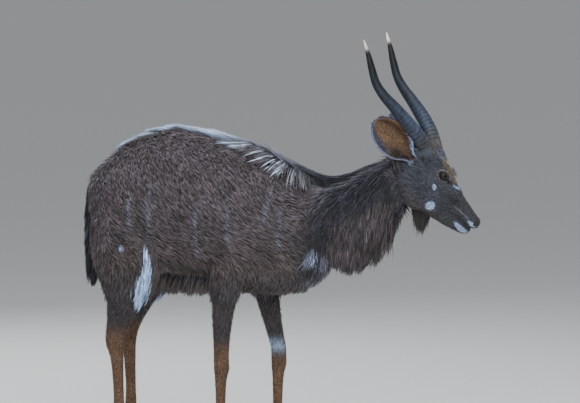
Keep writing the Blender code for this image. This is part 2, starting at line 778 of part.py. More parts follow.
def seek(tree, origin, direction):
    """Where a line from inside the body leaves its skin, and the skin's normal there."""
    place, normal = tree.ray_cast(origin, direction)[:2]
    return place, normal if normal.dot(direction) > 0 else -normal


def along_skin(tree, root, lie, length, tip_lift):
    """The tip of a lock that follows the skin and ends a little above it."""
    place, normal = tree.find_nearest(root + lie * length)[:2]
    return place + normal * tip_lift


def height_at(tips, x):
    return float(np.interp(x, *tips))


def row_at(rows, x):
    """A loft's numbers at one place along X, between its rows."""
    table = np.array(rows)
    return [float(np.interp(x, table[:, 0], table[:, i])) for i in range(table.shape[1])]


def ruff_locks(tree, draw):
    """The mane that hangs from the throat and the sides of the neck."""
    made = []
    for i, x in enumerate(np.linspace(0.470, 0.670, 9)):
        _, z, *_ = row_at(NECK, x)
        for slant in (-66, -30, 30, 66) if i % 2 else (-66, -34, 0, 34, 66):
            angle = math.radians(slant + draw.uniform(-7, 7) + (6 if i % 2 else -6))
            out = Vector((draw.uniform(-0.10, 0.10), math.sin(angle), -math.cos(angle)))
            root, normal = seek(tree, Vector((x, 0, z)), out.normalized())
            reach = abs(slant) / 66
            low = height_at(RUFF_TIPS, x) + 0.11 * reach**1.5 + draw.uniform(0.0, 0.018)
            tip = Vector((root.x + draw.uniform(-0.022, 0.008), root.y * (0.62 + 0.40 * reach), low))
            across = Vector((0.94, 0.34 * (1 if root.y > 0 else -1) * (1 - reach), 0)).normalized()
            made.append(lock(bent(root, normal, tip, 0.018), across, draw.uniform(0.044, 0.056), 0.015))
    return made


# Where the long hair of the neck's sides and of the withers starts: along X, and the turn up from down.
SIDE_ROOTS = ((0.668, 108), (0.615, 112), (0.560, 108), (0.505, 112), (0.585, 86), (0.480, 84))
WITHERS_ROOTS = ((0.345, 150), (0.310, 163), (0.270, 152), (0.230, 164), (0.190, 156))


def side_locks(tree, draw):
    """Long hair that lies down and back over the sides of the neck, and fans down from the withers."""
    made = []
    for side in (-1, 1):
        for x, slant in SIDE_ROOTS + WITHERS_ROOTS:
            angle = math.radians(side * slant)
            _, z, *_ = row_at(NECK if x > 0.36 else TRUNK, x)
            root, normal = seek(tree, Vector((x, 0, z)), Vector((0, math.sin(angle), -math.cos(angle))))
            lie = Vector((-0.42 + draw.uniform(-0.1, 0.1), 0.35 * side * (x < 0.36), -0.90)).normalized()
            tip = along_skin(tree, root, lie, draw.uniform(0.095, 0.120), 0.012)
            made.append(lock(bent(root, normal, tip, 0.012), normal.cross(lie).normalized(), 0.036, 0.012))
    return made


def crest_locks(tree, draw):
    """The crest along the spine, which lies back and stands highest over the withers."""
    made = []
    places = list(np.linspace(-0.345, 0.355, 22)) + list(np.linspace(0.455, 0.672, 7))
    for i, x in enumerate(places):
        side = 1 if i % 2 else -1
        root, normal = seek(tree, Vector((x, side * 0.006, 0.93)), Vector((0, side * 0.05, 1)).normalized())
        back = 0.072 + draw.uniform(-0.006, 0.006)
        top = height_at(CREST_TIPS, x - back) - draw.uniform(0.0, 0.003)
        tip = Vector((x - back, side * draw.uniform(0.004, 0.012), top))
        across = Vector((0, 0.6, 0.8 * side)).normalized()
        made.append(lock(bent(root, Vector((0.1, 0, 1)).normalized(), tip, 0.012), across, 0.032, 0.011))
    return made


def belly_locks(tree, draw):
    """The fringe along the belly and the breast."""
    made = []
    for side in (-1, 1):
        for i, x in enumerate(np.linspace(-0.165, 0.395, 11)):
            down = Vector((0, side * 0.14, -1)).normalized()
            root, normal = seek(tree, Vector((x, side * 0.010, 0.74)), down)
            low = height_at(BELLY_TIPS, x) + draw.uniform(0.0, 0.012)
            tip = Vector((x - draw.uniform(0.010, 0.026), side * draw.uniform(0.004, 0.020), low))
            across = Vector((1, 0.20 * side, 0)).normalized()
            made.append(lock(bent(root, normal, tip, 0.010), across, draw.uniform(0.044, 0.054), 0.013))
    return made


# Where the plume down the front of the thigh starts, as (x, z), and the length of each lock.
PLUME_ROOTS = (
    (-0.172, 0.805, 0.12),
    (-0.180, 0.750, 0.14),
    (-0.190, 0.690, 0.14),
    (-0.202, 0.625, 0.11),
)


def thigh_locks(tree, draw):
    """The long fringe down the front of each thigh, and the shorter one down its hind edge."""
    made = []
    for name in ("hind_right", "hind_left"):
        side = LEGS[name][2]
        for x, z, length in PLUME_ROOTS:
            root, normal = seek(tree, leg_centre(name, x, z), Vector((0, side, 0)))
            tip = along_skin(tree, root, Vector((-0.12, 0, -1)).normalized(), length, 0.016)
            made.append(lock(bent(root, normal, tip, 0.014), Vector((1, 0, 0)), 0.036, 0.012))
        for z in (0.735, 0.675, 0.615):
            root, normal = seek(tree, leg_centre(name, -0.27, z), Vector((-1, side * 0.2, 0)).normalized())
            tip = along_skin(tree, root, Vector((0.1, 0, -1)).normalized(), draw.uniform(0.065, 0.080), 0.014)
            made.append(lock(bent(root, normal, tip, 0.012), Vector((0, 1, 0)), 0.030, 0.011))
    return made


def beard_locks(tree, draw):
    """The tuft under the throat."""
    made = []
    for x, side in ((0.728, -1), (0.738, 1), (0.752, -1), (0.760, 1), (0.774, 0)):
        root, normal = seek(tree, Vector((x, side * 0.012, 0.97)), Vector((0.1, side * 0.12, -1)).normalized())
        low = 0.812 + draw.uniform(0, 0.02)
        tip = Vector((0.749 + draw.uniform(-0.012, 0.012), side * draw.uniform(0.004, 0.014), low))
        made.append(lock(bent(root, normal, tip, 0.008), Vector((0.8, 0.6, 0)), 0.026, 0.011))
    return made


def tail_locks(tree, draw):
    """The tail's long hair, on both sides of it and down to its tip."""
    made = []
    for side in (-1, 1):
        for z in (0.900, 0.840, 0.780, 0.720, 0.665):
            x = row_at([(r[1], r[0]) for r in reversed(TAIL)], z)[1]
            root, normal = seek(tree, Vector((x, 0, z)), Vector((-0.5, side, 0)).normalized())
            low = max(0.600, z - 0.115) + draw.uniform(0, 0.012)
            across = Vector((0.25, 1, 0)).normalized()
            tip = Vector((x - 0.008 + 0.05 * (z - low) * (z < 0.8), side * (0.036 if z > 0.75 else 0.018), low))
            made.append(lock(bent(root, normal, tip, 0.008), across, 0.026, 0.010))
    return made


def with_locks(obj, locks, solver="EXACT"):
    """The body and all its locks as one closed skin."""
    return keep_largest(boolean(obj, locks, "UNION", solver))


# Where each leg is parted from the trunk, as an outline in the X-Z plane that may be grown by a gap.
def leg_outline(name, grow):
    if name.startswith("hind"):
        front, knee, back = -0.085 + grow, (-0.115 + grow, 0.640 + grow), (-0.750, 0.970 + grow)
        return (front, -0.05), (front, 0.615 + grow), knee, back, (-0.750, -0.05)
    top = FORE_CUT_Z + grow
    x = leg_centre(name, 0.115, FORE_CUT_Z).x
    back, front = x - 0.100 - grow, x + 0.100 + grow
    return (back, -0.05), (back, top), (front, top), (front, -0.05)


def leg_block(name, grow):
    side = LEGS[name][2]
    return prism(name + "_room", leg_outline(name, grow), *sorted((side * (LEG_INNER - grow), side * LEG_ROOM)))


def tail_room(grow):
    return block("tail_room", (-0.8, -0.12, 0.50), (TAIL_CUT_X + grow, 0.12, 1.2))


def clear_of(obj, others):
    """Cuts the object back until it keeps the gap to each of the others."""
    grown = []
    for other in others:
        made = copy_of(other, "grown")
        for vertex in made.data.vertices:
            vertex.co += vertex.normal * GAP * 1.5
        grown.append(made)
    return boolean(obj, grown, "DIFFERENCE")


def build_head(draw, coat, horn_finish, eye_finish):
    masses = [head_loft("skull", SKULL, top=2.1, bottom=2.2), head_loft("jaw", JAW, top=2.2)] + head_masses()
    masses += stubs(-1) + stubs(1) + [loft("nape", spine_rings(NECK, 3))]
    head = fused("head", masses, 0.004, 20)
    boolean(head, [beyond("rough", HEAD_CUT - HEAD_CUT_NORMAL * 0.01, HEAD_CUT_NORMAL)], "INTERSECT")
    thinned(head, 1150)
    seats = [make(side) for side in (-1, 1) for make in (horn_seat, ear_seat, eye_lids)]
    boolean(head, seats + beard_locks(skin_tree(head), draw), "UNION")
    f, s, u = EYE_PLACE
    hollow = (EYE_RADIUS + GAP,) * 3
    sockets = [ellipsoid("socket", head_place(f, side * s, u), hollow, None, 12, 8) for side in (-1, 1)]
    boolean(head, sockets + [make(side) for side in (-1, 1) for make in (mouth_slit, nostril)], "DIFFERENCE")
    boolean(head, [beyond("head_side", HEAD_CUT + HEAD_CUT_NORMAL * GAP / 2, HEAD_CUT_NORMAL)], "INTERSECT")
    node(head, "head", coat)
    for side, word in ((-1, "right"), (1, "left")):
        ball = ellipsoid("eye", head_place(f, side * s, u), (EYE_RADIUS,) * 3, None, 12, 8)
        node(ball, "eye_" + word, eye_finish)
        point, direction = horn_foot(side)
        shaft = horn(side)
        boolean(shaft, [beyond("horn_side", point - direction * GAP, direction)], "INTERSECT")
        node(clear_of(shaft, [head]), "horn_" + word, horn_finish)
        node(clear_of(ear(side), [head, shaft]), "ear_" + word, coat)


def build():
    draw = random.Random(SEED)
    coat = material("brown_coat", (0.115, 0.085, 0.070), 0.85)
    mane = material("dark_mane", (0.060, 0.048, 0.045), 0.80)
    tan = material("tan_legs", (0.36, 0.19, 0.08), 0.85)
    horn_finish = material("dark_horn", (0.055, 0.050, 0.048), 0.45)
    hoof_finish = material("hoof", (0.045, 0.038, 0.034), 0.50)
    eye_finish = material("eye", (0.012, 0.009, 0.008), 0.05)

    body = [loft("trunk", spine_rings(TRUNK, 3, level=True, top=1.8, bottom=2.1))]
    body += [loft("neck", spine_rings(NECK, 3)), loft("ruff", spine_rings(RUFF, 3, level=True, bottom=1.6))]
    body += [loft("belly_fringe", spine_rings(BELLY_FRINGE, 2, level=True, bottom=1.5, sides=12))]
    body += [loft("crest", spine_rings(CREST, 2, level=True, top=1.5, sides=10)), tail_stump()]
    body += [leg(name) for name in LEGS] + [claw for name in LEGS for claw in dew_claws(name)]
    core = thinned(fused("core", body, 0.008, 14, soft_from=0.50), 2900)
    build_head(draw, coat, horn_finish, eye_finish)
    tree = skin_tree(core)
    hair = [make(tree, draw) for make in (ruff_locks, side_locks, crest_locks, belly_locks, thigh_locks)]
    with_locks(core, [piece for group in hair for piece in group])

    throat = copy_of(core, "throat")
    boolean(throat, [beyond("neck_side", NECK_CUT + NECK_CUT_NORMAL * GAP / 2, NECK_CUT_NORMAL)], "INTERSECT")
    boolean(throat, [beyond("head_side", HEAD_CUT - HEAD_CUT_NORMAL * GAP / 2, HEAD_CUT_NORMAL)], "DIFFERENCE")
    node(throat, "neck", mane)
    for name in LEGS:
        limb = copy_of(core, name)
        boolean(limb, [leg_block(name, 0)], "INTERSECT")
        boolean(limb, [tail_room(0), block("ground", (-1, -1, -0.5), (1, 1, HOOF_TOP))], "DIFFERENCE")
        node(limb, "leg_" + name, tan)
        for inner, word in ((True, "inner"), (False, "outer")):
            node(hoof_claw(name, inner), f"hoof_{name}_{word}", hoof_finish)
    rooms = [leg_block(name, GAP) for name in LEGS]
    neck_side = beyond("neck_side", NECK_CUT - NECK_CUT_NORMAL * GAP / 2, NECK_CUT_NORMAL)
    node(boolean(core, rooms + [neck_side, tail_room(0)], "DIFFERENCE"), "torso", coat)

    hung = tail()
    with_locks(hung, tail_locks(skin_tree(hung), draw))
    boolean(hung, [beyond("tail_side", Vector((TAIL_CUT_X - GAP, 0, 0.8)), Vector((-1, 0, 0)))], "INTERSECT")
    node(hung, "tail", mane)
    for obj in list(WORKSHOP.objects):
        bpy.data.objects.remove(obj)
    bpy.data.collections.remove(WORKSHOP)


def stand_on_origin():
    """Moves the whole model so that its box is centred on the origin and stands on z = 0."""
    corners = np.array([vertex.co[:] for obj in MODEL.objects for vertex in obj.data.vertices])
    low, high = corners.min(axis=0), corners.max(axis=0)
    shift = Vector((-(low[0] + high[0]) / 2, -(low[1] + high[1]) / 2, -low[2]))
    for obj in MODEL.objects:
        obj.data.transform(Matrix.Translation(shift))


clear_scene()
MODEL = collection("nyala_bull")
WORKSHOP = collection("workshop")
build()
stand_on_origin()
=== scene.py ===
# %% [markdown]
# # A nyala bull, dressed
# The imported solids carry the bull's true size, stance and main shapes. This lesson gives it looks:
# one skin, a shaggy coat of tufts, a mane, a crest and fringes of long hair, and fine eyes, ears,
# horns and hooves. Everything is in metres, with the nose towards +X and the bull's left towards +Y.

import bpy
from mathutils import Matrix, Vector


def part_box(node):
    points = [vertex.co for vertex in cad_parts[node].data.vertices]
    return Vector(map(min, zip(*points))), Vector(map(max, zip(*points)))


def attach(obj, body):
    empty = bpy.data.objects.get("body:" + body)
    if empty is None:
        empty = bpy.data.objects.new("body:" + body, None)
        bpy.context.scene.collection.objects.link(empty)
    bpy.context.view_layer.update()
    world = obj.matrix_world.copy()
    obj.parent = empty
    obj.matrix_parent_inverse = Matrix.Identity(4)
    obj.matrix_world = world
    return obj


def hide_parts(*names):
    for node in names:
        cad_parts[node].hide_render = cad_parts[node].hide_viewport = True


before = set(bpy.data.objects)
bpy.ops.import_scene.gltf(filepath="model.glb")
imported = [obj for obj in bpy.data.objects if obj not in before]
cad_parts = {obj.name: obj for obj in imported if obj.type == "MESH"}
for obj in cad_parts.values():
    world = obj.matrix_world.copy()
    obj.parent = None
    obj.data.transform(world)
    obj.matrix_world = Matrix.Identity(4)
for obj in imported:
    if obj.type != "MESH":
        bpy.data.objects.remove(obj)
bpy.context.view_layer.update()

# %% Modules
import math

import bmesh
import bpy
import numpy as np
from mathutils import Matrix, Vector
from mathutils.bvhtree import BVHTree

DRAW = np.random.default_rng(11)
SHARE = 1.0
print("share of the coat that is made:", SHARE)

# %% [markdown]
# ## Where things are
# The solids were drawn round the middle of the trunk and then moved so that their box is centred.
# The centre of one eye is known in both places, so it gives the shift. The head has a frame of its
# own: f runs along the muzzle, s to the bull's left and u out of the forehead.

# %% The head's frame and the shift
HEAD_ORIGIN = Vector((0.70, 0.0, 1.03))
HEAD_YAW, HEAD_PITCH, HEAD_ROLL = math.radians(4), math.radians(44), math.radians(5)
HEAD_TURN = Matrix.Rotation(HEAD_YAW, 3, "Z") @ Matrix.Rotation(HEAD_PITCH, 3, "Y")
HEAD_TURN = HEAD_TURN @ Matrix.Rotation(HEAD_ROLL, 3, "X")
HEAD_CUT, HEAD_CUT_NORMAL = Vector((0.697, 0.0, 1.0)), Vector((0.984, 0.0, 0.179)).normalized()
EYE_PLACE = (0.1080, 0.0390, 0.0960)
SIDES = ((-1, "right"), (1, "left"))
EYE_RADIUS = 0.0155


def head_place(f, s, u):
    return HEAD_ORIGIN + HEAD_TURN @ Vector((f, s, u))


eye_low, eye_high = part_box("eye_left")
SHIFT = (Vector(eye_low) + Vector(eye_high)) / 2 - head_place(*EYE_PLACE)
print("shift", [round(v, 4) for v in SHIFT])

# %% [markdown]
# ## Lofts
# A body is a row of egg-shaped rings with a skin stretched over them. The rows below are those of the
# solids: where each ring is, how wide it is, and how far it reaches up and down. A smooth curve runs
# through the rows, so a few numbers give a rounded form.

# %% Rings


def through(rows, steps):
    """Rows of numbers joined by a smooth curve, with this many steps between each two."""
    rows = np.array(rows, float)
    padded = np.vstack([2 * rows[0] - rows[1], rows, 2 * rows[-1] - rows[-2]])
    found = []
    for i in range(1, len(padded) - 2):
        a, b, c, d = padded[i - 1 : i + 3]
        for k in range(steps):
            t = k / steps
            bend = 2 * a - 5 * b + 4 * c - d
            found.append(0.5 * (2 * b + (c - a) * t + bend * t**2 + (3 * b - a - 3 * c + d) * t**3))
    return np.array(found + [rows[-1]])


def power(value, exponent):
    return math.copysign(abs(value) ** exponent, value)


def section(centre, across, upward, half_width, rise, drop, top=2.0, bottom=2.0, sides=40):
    """An egg-shaped ring. Its exponents make the top and the bottom sharper below 2, squarer above it."""
    points = []
    for k in range(sides):
        angle = 2 * math.pi * k / sides
        high = math.sin(angle) >= 0
        shape = 2 / (top if high else bottom)
        height = (rise if high else drop) * power(math.sin(angle), shape)
        points.append(centre + across * half_width * power(math.cos(angle), shape) + upward * height)
    return points


print("steps through three rows:", len(through([[0], [1], [3]], 4)))

# %% Lofts and simple forms


def placed(name, data):
    """A new object in the scene."""
    obj = bpy.data.objects.new(name, data)
    bpy.context.scene.collection.objects.link(obj)
    return obj


def from_bmesh(name, mesh):
    data = bpy.data.meshes.new(name)
    mesh.to_mesh(data)
    mesh.free()
    return placed(name, data)


def loft(name, rings):
    """A closed skin through rings of equal length."""
    mesh = bmesh.new()
    rows = [[mesh.verts.new(point) for point in ring] for ring in rings]
    for low, high in zip(rows, rows[1:]):
        for k in range(len(low)):
            mesh.faces.new((low[k], low[k - 1], high[k - 1], high[k]))
    mesh.faces.new(rows[0])
    mesh.faces.new(list(reversed(rows[-1])))
    bmesh.ops.recalc_face_normals(mesh, faces=mesh.faces)
    return from_bmesh(name, mesh)


def spine_rings(path, steps, level=False, **shape):
    """Rings along (x, z, half width, rise, drop) in the middle plane. Level rings stay upright."""
    rows = through(path, steps)
    rings = []
    for i, row in enumerate(rows):
        ahead = rows[min(i + 1, len(rows) - 1)] - rows[max(i - 1, 0)]
        tangent = Vector((1, 0, 0)) if level else Vector((ahead[0], 0, ahead[1])).normalized()
        across = Vector((0, 1, 0))
        rings.append(section(Vector((row[0], 0, row[1])), across, tangent.cross(across), *row[2:5], **shape))
    return rings


def ellipsoid(name, centre, radii, turn=None, segments=28, rings=18):
    mesh = bmesh.new()
    spin = turn.to_4x4() if turn else Matrix.Identity(4)
    place = Matrix.Translation(centre) @ spin @ Matrix.Diagonal((*radii, 1))
    bmesh.ops.create_uvsphere(mesh, u_segments=segments, v_segments=rings, radius=1, matrix=place)
    return from_bmesh(name, mesh)


def cone(name, start, direction, length, radius, end_radius):
    mesh = bmesh.new()
    turn = direction.to_track_quat("Z", "Y").to_matrix().to_4x4()
    place = Matrix.Translation(start + direction * length / 2) @ turn
    size = {"segments": 24, "radius1": radius, "radius2": end_radius, "depth": length}
    bmesh.ops.create_cone(mesh, cap_ends=True, matrix=place, **size)
    return from_bmesh(name, mesh)


print("forms to build with: loft, ellipsoid and cone")

# %% [markdown]
# ## The bull's measures
# These rows describe trunk, neck, ruff, fringe and tail from one end to the other. They could be
# sculpted, but numbers keep the looks and the solids alike.

# %% The body's rows
TRUNK = (
    (-0.428, 0.950, 0.040, 0.035, 0.060),
    (-0.414, 0.940, 0.085, 0.075, 0.130),
    (-0.385, 0.925, 0.125, 0.115, 0.190),
    (-0.330, 0.915, 0.155, 0.172, 0.225),
    (-0.250, 0.910, 0.172, 0.218, 0.235),
    (-0.140, 0.905, 0.183, 0.250, 0.250),
    (-0.020, 0.895, 0.190, 0.250, 0.245),
    (0.090, 0.880, 0.185, 0.228, 0.240),
    (0.190, 0.865, 0.168, 0.205, 0.240),
    (0.280, 0.850, 0.145, 0.170, 0.230),
    (0.360, 0.830, 0.118, 0.150, 0.190),
    (0.415, 0.815, 0.085, 0.125, 0.130),
    (0.445, 0.805, 0.045, 0.070, 0.065),
)
NECK = (
    (0.200, 0.850, 0.150, 0.165, 0.180),
    (0.300, 0.850, 0.130, 0.145, 0.170),
    (0.380, 0.860, 0.112, 0.115, 0.140),
    (0.450, 0.878, 0.096, 0.098, 0.115),
    (0.520, 0.910, 0.084, 0.090, 0.100),
    (0.590, 0.950, 0.075, 0.083, 0.088),
    (0.650, 0.985, 0.067, 0.080, 0.080),
    (0.700, 1.012, 0.060, 0.072, 0.072),
    (0.740, 1.035, 0.050, 0.050, 0.055),
)
RUFF = (
    (0.440, 0.80, 0.078, 0.05, 0.055),
    (0.480, 0.81, 0.074, 0.05, 0.070),
    (0.530, 0.82, 0.066, 0.05, 0.072),
    (0.580, 0.84, 0.060, 0.05, 0.068),
    (0.625, 0.88, 0.052, 0.05, 0.062),
    (0.660, 0.92, 0.046, 0.04, 0.050),
    (0.690, 0.96, 0.038, 0.04, 0.030),
)
BELLY_FRINGE = (
    (-0.190, 0.69, 0.024, 0.03, 0.042),
    (-0.120, 0.68, 0.030, 0.03, 0.050),
    (0.000, 0.67, 0.030, 0.03, 0.048),
    (0.100, 0.66, 0.030, 0.03, 0.042),
    (0.200, 0.66, 0.032, 0.03, 0.042),
    (0.300, 0.65, 0.038, 0.03, 0.036),
    (0.370, 0.67, 0.040, 0.03, 0.032),
    (0.410, 0.71, 0.034, 0.03, 0.028),
)
TAIL = (
    (-0.410, 1.004, 0.018, 0.014, 0.014),
    (-0.427, 0.990, 0.021, 0.015, 0.014),
    (-0.436, 0.950, 0.024, 0.014, 0.014),
    (-0.438, 0.880, 0.028, 0.013, 0.013),
    (-0.437, 0.800, 0.030, 0.013, 0.013),
    (-0.433, 0.720, 0.026, 0.012, 0.012),
    (-0.427, 0.660, 0.016, 0.009, 0.009),
    (-0.422, 0.630, 0.005, 0.004, 0.004),
)
print("rows of the trunk and of the neck:", len(TRUNK), "and", len(NECK))

# %% [markdown]
# A leg is a column of level rings, from the muscles of shoulder or thigh down to the pastern. One set
# of rows serves both sides. Each leg is swung from its top, so that the stride takes one number a leg.

# %% The legs' rows
# A leg runs down from its muscle mass: (x, z, half width, reach forwards, reach backwards).
FORE = (
    (0.175, 0.900, 0.040, 0.080, 0.080),
    (0.166, 0.800, 0.058, 0.108, 0.105),
    (0.118, 0.715, 0.055, 0.088, 0.082),
    (0.096, 0.640, 0.045, 0.062, 0.062),
    (0.085, 0.560, 0.036, 0.043, 0.045),
    (0.079, 0.470, 0.029, 0.032, 0.033),
    (0.076, 0.390, 0.0265, 0.029, 0.028),
    (0.076, 0.345, 0.0275, 0.030, 0.027),
    (0.074, 0.300, 0.021, 0.022, 0.022),
    (0.073, 0.200, 0.0180, 0.019, 0.019),
    (0.075, 0.130, 0.0215, 0.023, 0.025),
    (0.081, 0.104, 0.0225, 0.023, 0.025),
    (0.095, 0.075, 0.0210, 0.022, 0.022),
    (0.103, 0.045, 0.0225, 0.022, 0.022),
)
HIND = (
    (-0.285, 0.960, 0.050, 0.100, 0.085),
    (-0.280, 0.850, 0.074, 0.150, 0.120),
    (-0.270, 0.750, 0.072, 0.148, 0.130),
    (-0.262, 0.665, 0.062, 0.118, 0.115),
    (-0.270, 0.585, 0.048, 0.080, 0.077),
    (-0.290, 0.512, 0.036, 0.050, 0.050),
    (-0.305, 0.455, 0.030, 0.037, 0.040),
    (-0.308, 0.415, 0.027, 0.032, 0.036),
    (-0.303, 0.360, 0.0215, 0.025, 0.024),
    (-0.298, 0.240, 0.0185, 0.021, 0.020),
    (-0.296, 0.135, 0.0230, 0.024, 0.027),
    (-0.290, 0.106, 0.0235, 0.024, 0.026),
    (-0.275, 0.076, 0.0210, 0.022, 0.022),
    (-0.267, 0.045, 0.0225, 0.022, 0.022),
)
FORE_SPREAD = ((0.00, 0.50, 0.70, 0.90), (0.102, 0.106, 0.100, 0.078))
HIND_SPREAD = ((0.00, 0.50, 0.74, 0.96), (0.108, 0.112, 0.102, 0.082))
# Each leg: its rows, its spread, its side, and how far its foot is set forward.
LEGS = {
    "fore_right": (FORE, FORE_SPREAD, -1, 0.0),
    "fore_left": (FORE, FORE_SPREAD, 1, 0.138),
    "hind_right": (HIND, HIND_SPREAD, -1, 0.0),
    "hind_left": (HIND, HIND_SPREAD, 1, -0.038),
}
SWING_FROM, SWING_TO = 0.90, 0.40
HOOF_TOP = 0.060


def leg_centre(name, x, z):
    """A point of a leg's axis, with the leg swung forwards or back from its shoulder or hip."""
    _, spread, side, swing = LEGS[name]
    share = min(1.0, max(0.0, (SWING_FROM - z) / (SWING_FROM - SWING_TO)))
    return Vector((x + swing * share, side * float(np.interp(z, *spread)), z))


def leg(name):
    rings = []
    for x, z, half, ahead, behind in through(LEGS[name][0], 4):
        across, forward = Vector((0, 1, 0)), Vector((1, 0, 0))
        rings.append(section(leg_centre(name, x, z), across, forward, half, ahead, behind, sides=28))
    return loft(name, rings)


print("legs:", ", ".join(LEGS))

# %% [markdown]
# Skull, jaw and horns are rows in the head's own frame, and the ears are placed in it. So the head
# can be drawn straight and level, and be turned as a whole.

# %% The head's rows
SKULL = (
    (-0.060, 0.045, -0.045, 0.040, 0.000),
    (-0.030, 0.078, -0.060, 0.054, 0.010),
    (0.010, 0.108, -0.065, 0.062, 0.028),
    (0.050, 0.124, -0.062, 0.063, 0.045),
    (0.090, 0.1245, -0.052, 0.061, 0.055),
    (0.120, 0.1150, -0.040, 0.055, 0.056),
    (0.155, 0.0990, -0.022, 0.045, 0.050),
    (0.190, 0.0870, -0.008, 0.038, 0.044),
    (0.225, 0.0785, 0.002, 0.033, 0.040),
    (0.258, 0.0720, 0.012, 0.031, 0.038),
    (0.283, 0.0660, 0.022, 0.029, 0.040),
    (0.300, 0.0600, 0.031, 0.023, 0.043),
    (0.308, 0.0510, 0.039, 0.012, 0.044),
)
JAW = (
    (0.010, 0.000, -0.068, 0.036, -0.035),
    (0.050, 0.010, -0.078, 0.048, -0.035),
    (0.085, 0.015, -0.076, 0.051, -0.032),
    (0.120, 0.015, -0.065, 0.046, -0.026),
    (0.160, 0.014, -0.051, 0.037, -0.018),
    (0.200, 0.014, -0.041, 0.029, -0.012),
    (0.235, 0.018, -0.031, 0.024, -0.004),
    (0.265, 0.022, -0.020, 0.021, 0.002),
    (0.285, 0.022, -0.011, 0.018, 0.006),
    (0.297, 0.018, -0.002, 0.010, 0.008),
)
HORN = (
    (0.0500, 0.0310, 0.1010, 0.0232),
    (0.0166, 0.0449, 0.1166, 0.0230),
    (-0.0246, 0.0636, 0.1341, 0.0232),
    (-0.0681, 0.0824, 0.1469, 0.0232),
    (-0.1156, 0.0967, 0.1559, 0.0224),
    (-0.1645, 0.1086, 0.1631, 0.0198),
    (-0.2132, 0.1201, 0.1687, 0.0170),
    (-0.2599, 0.1276, 0.1816, 0.0144),
    (-0.3024, 0.1311, 0.2064, 0.0124),
    (-0.3451, 0.1342, 0.2345, 0.0085),
    (-0.3903, 0.1379, 0.2608, 0.0018),
)
HORN_BASE_RADIUS = 0.0230
EAR_ROOT, EAR_TIP = Vector((-0.004, 0.052, 0.063)), Vector((-0.181, 0.114, 0.084))
EAR_OPENING = Vector((0.05, 0.92, 0.35))
EAR_LENGTH, EAR_WIDTH = 0.184, 0.115
# How wide the ear is from its root to its tip: shares of its length and of its full width.
EAR_OUTLINE = (
    (0.00, 0.07, 0.14, 0.24, 0.33, 0.46, 0.56, 0.69, 0.77, 0.85, 0.92, 0.97, 1.00),
    (0.22, 0.28, 0.42, 0.69, 0.86, 0.98, 1.00, 0.92, 0.83, 0.68, 0.50, 0.30, 0.09),
)


print("the skull's rows reach", round(SKULL[-1][0] - SKULL[0][0], 3), "m")

# %% Forms in the head's frame


def head_loft(name, rows, **shape):
    """A loft along the muzzle from rows of (f, top, bottom, half width, height of the widest place)."""
    across, upward = HEAD_TURN @ Vector((0, 1, 0)), HEAD_TURN @ Vector((0, 0, 1))
    rings = []
    for f, top, bottom, half, wide in through(rows, 5):
        centre = head_place(f, 0, wide)
        rise, drop = top - wide, wide - bottom
        rings.append(section(centre, across, upward, half, rise, drop, sides=48, **shape))
    return loft(name, rings)


def horn_foot(side):
    """Where a horn leaves the skull: a point, and the direction of the horn there."""
    low, high = HORN[1], HORN[2]
    point = head_place(low[0], side * low[1], low[2])
    return point, (head_place(high[0], side * high[1], high[2]) - point).normalized()


def ear_frame(side):
    """The ear's root, its long axis, its width and the way that its cup opens."""
    mirror = HEAD_TURN @ Matrix.Diagonal((1, side, 1))
    length = (mirror @ (EAR_TIP - EAR_ROOT)).normalized()
    opening = mirror @ EAR_OPENING
    opening = (opening - length * opening.dot(length)).normalized()
    return HEAD_ORIGIN + mirror @ EAR_ROOT, length, length.cross(opening), opening


print("a horn leaves the skull at", [round(v, 3) for v in horn_foot(-1)[0]])

# %% [markdown]
# ## One skin
# On the bull the skin runs without a seam from the nose to the hooves. A voxel remesh turns the
# overlapping lofts into one surface, and a smoothing pass softens the creases between muscles. The
# head needs finer voxels than the trunk, so it is made by itself and reaches into the neck, where the
# mane hides the join. The skin then sinks by the depth of the fur that will lie over it.

# %% Joining lofts into a skin
BODY_VOXEL, HEAD_VOXEL = 0.0065, 0.0030


def baked(obj):
    """The object with its modifiers applied."""
    bpy.context.view_layer.update()
    graph = bpy.context.evaluated_depsgraph_get()
    source = obj.evaluated_get(graph)
    data = bpy.data.meshes.new_from_object(source, preserve_all_data_layers=True, depsgraph=graph)
    obj.modifiers.clear()
    obj.data = data
    return obj


def walled(obj, thickness, offset):
    """Gives a thin sheet a thickness. An offset of 0 puts half of it on each side."""
    wall = obj.modifiers.new("Wall", "SOLIDIFY")
    wall.thickness = thickness
    wall.offset = offset
    return baked(obj)


def joined(name, pieces):
    mesh = bmesh.new()
    for piece in pieces:
        mesh.from_mesh(piece.data)
        bpy.data.objects.remove(piece)
    return from_bmesh(name, mesh)


def fused(name, pieces, voxel, smoothing, soft_from=-1.0):
    """One skin over overlapping pieces, with the creases between them softened above a height."""
    obj = joined(name, pieces)
    remesh = obj.modifiers.new("Skin", "REMESH")
    remesh.mode = "VOXEL"
    remesh.voxel_size = voxel
    baked(obj)
    group = obj.vertex_groups.new(name="soft")
    for vertex in obj.data.vertices:
        group.add([vertex.index], min(1.0, max(0.05, (vertex.co.z - soft_from) / 0.12)), "REPLACE")
    smooth = obj.modifiers.new("Soften", "SMOOTH")
    smooth.factor = 0.5
    smooth.iterations = smoothing
    smooth.vertex_group = "soft"
    baked(obj)
    obj.vertex_groups.clear()
    return obj


print("voxels of body and head:", BODY_VOXEL, "and", HEAD_VOXEL)

# %% Cuts in a skin


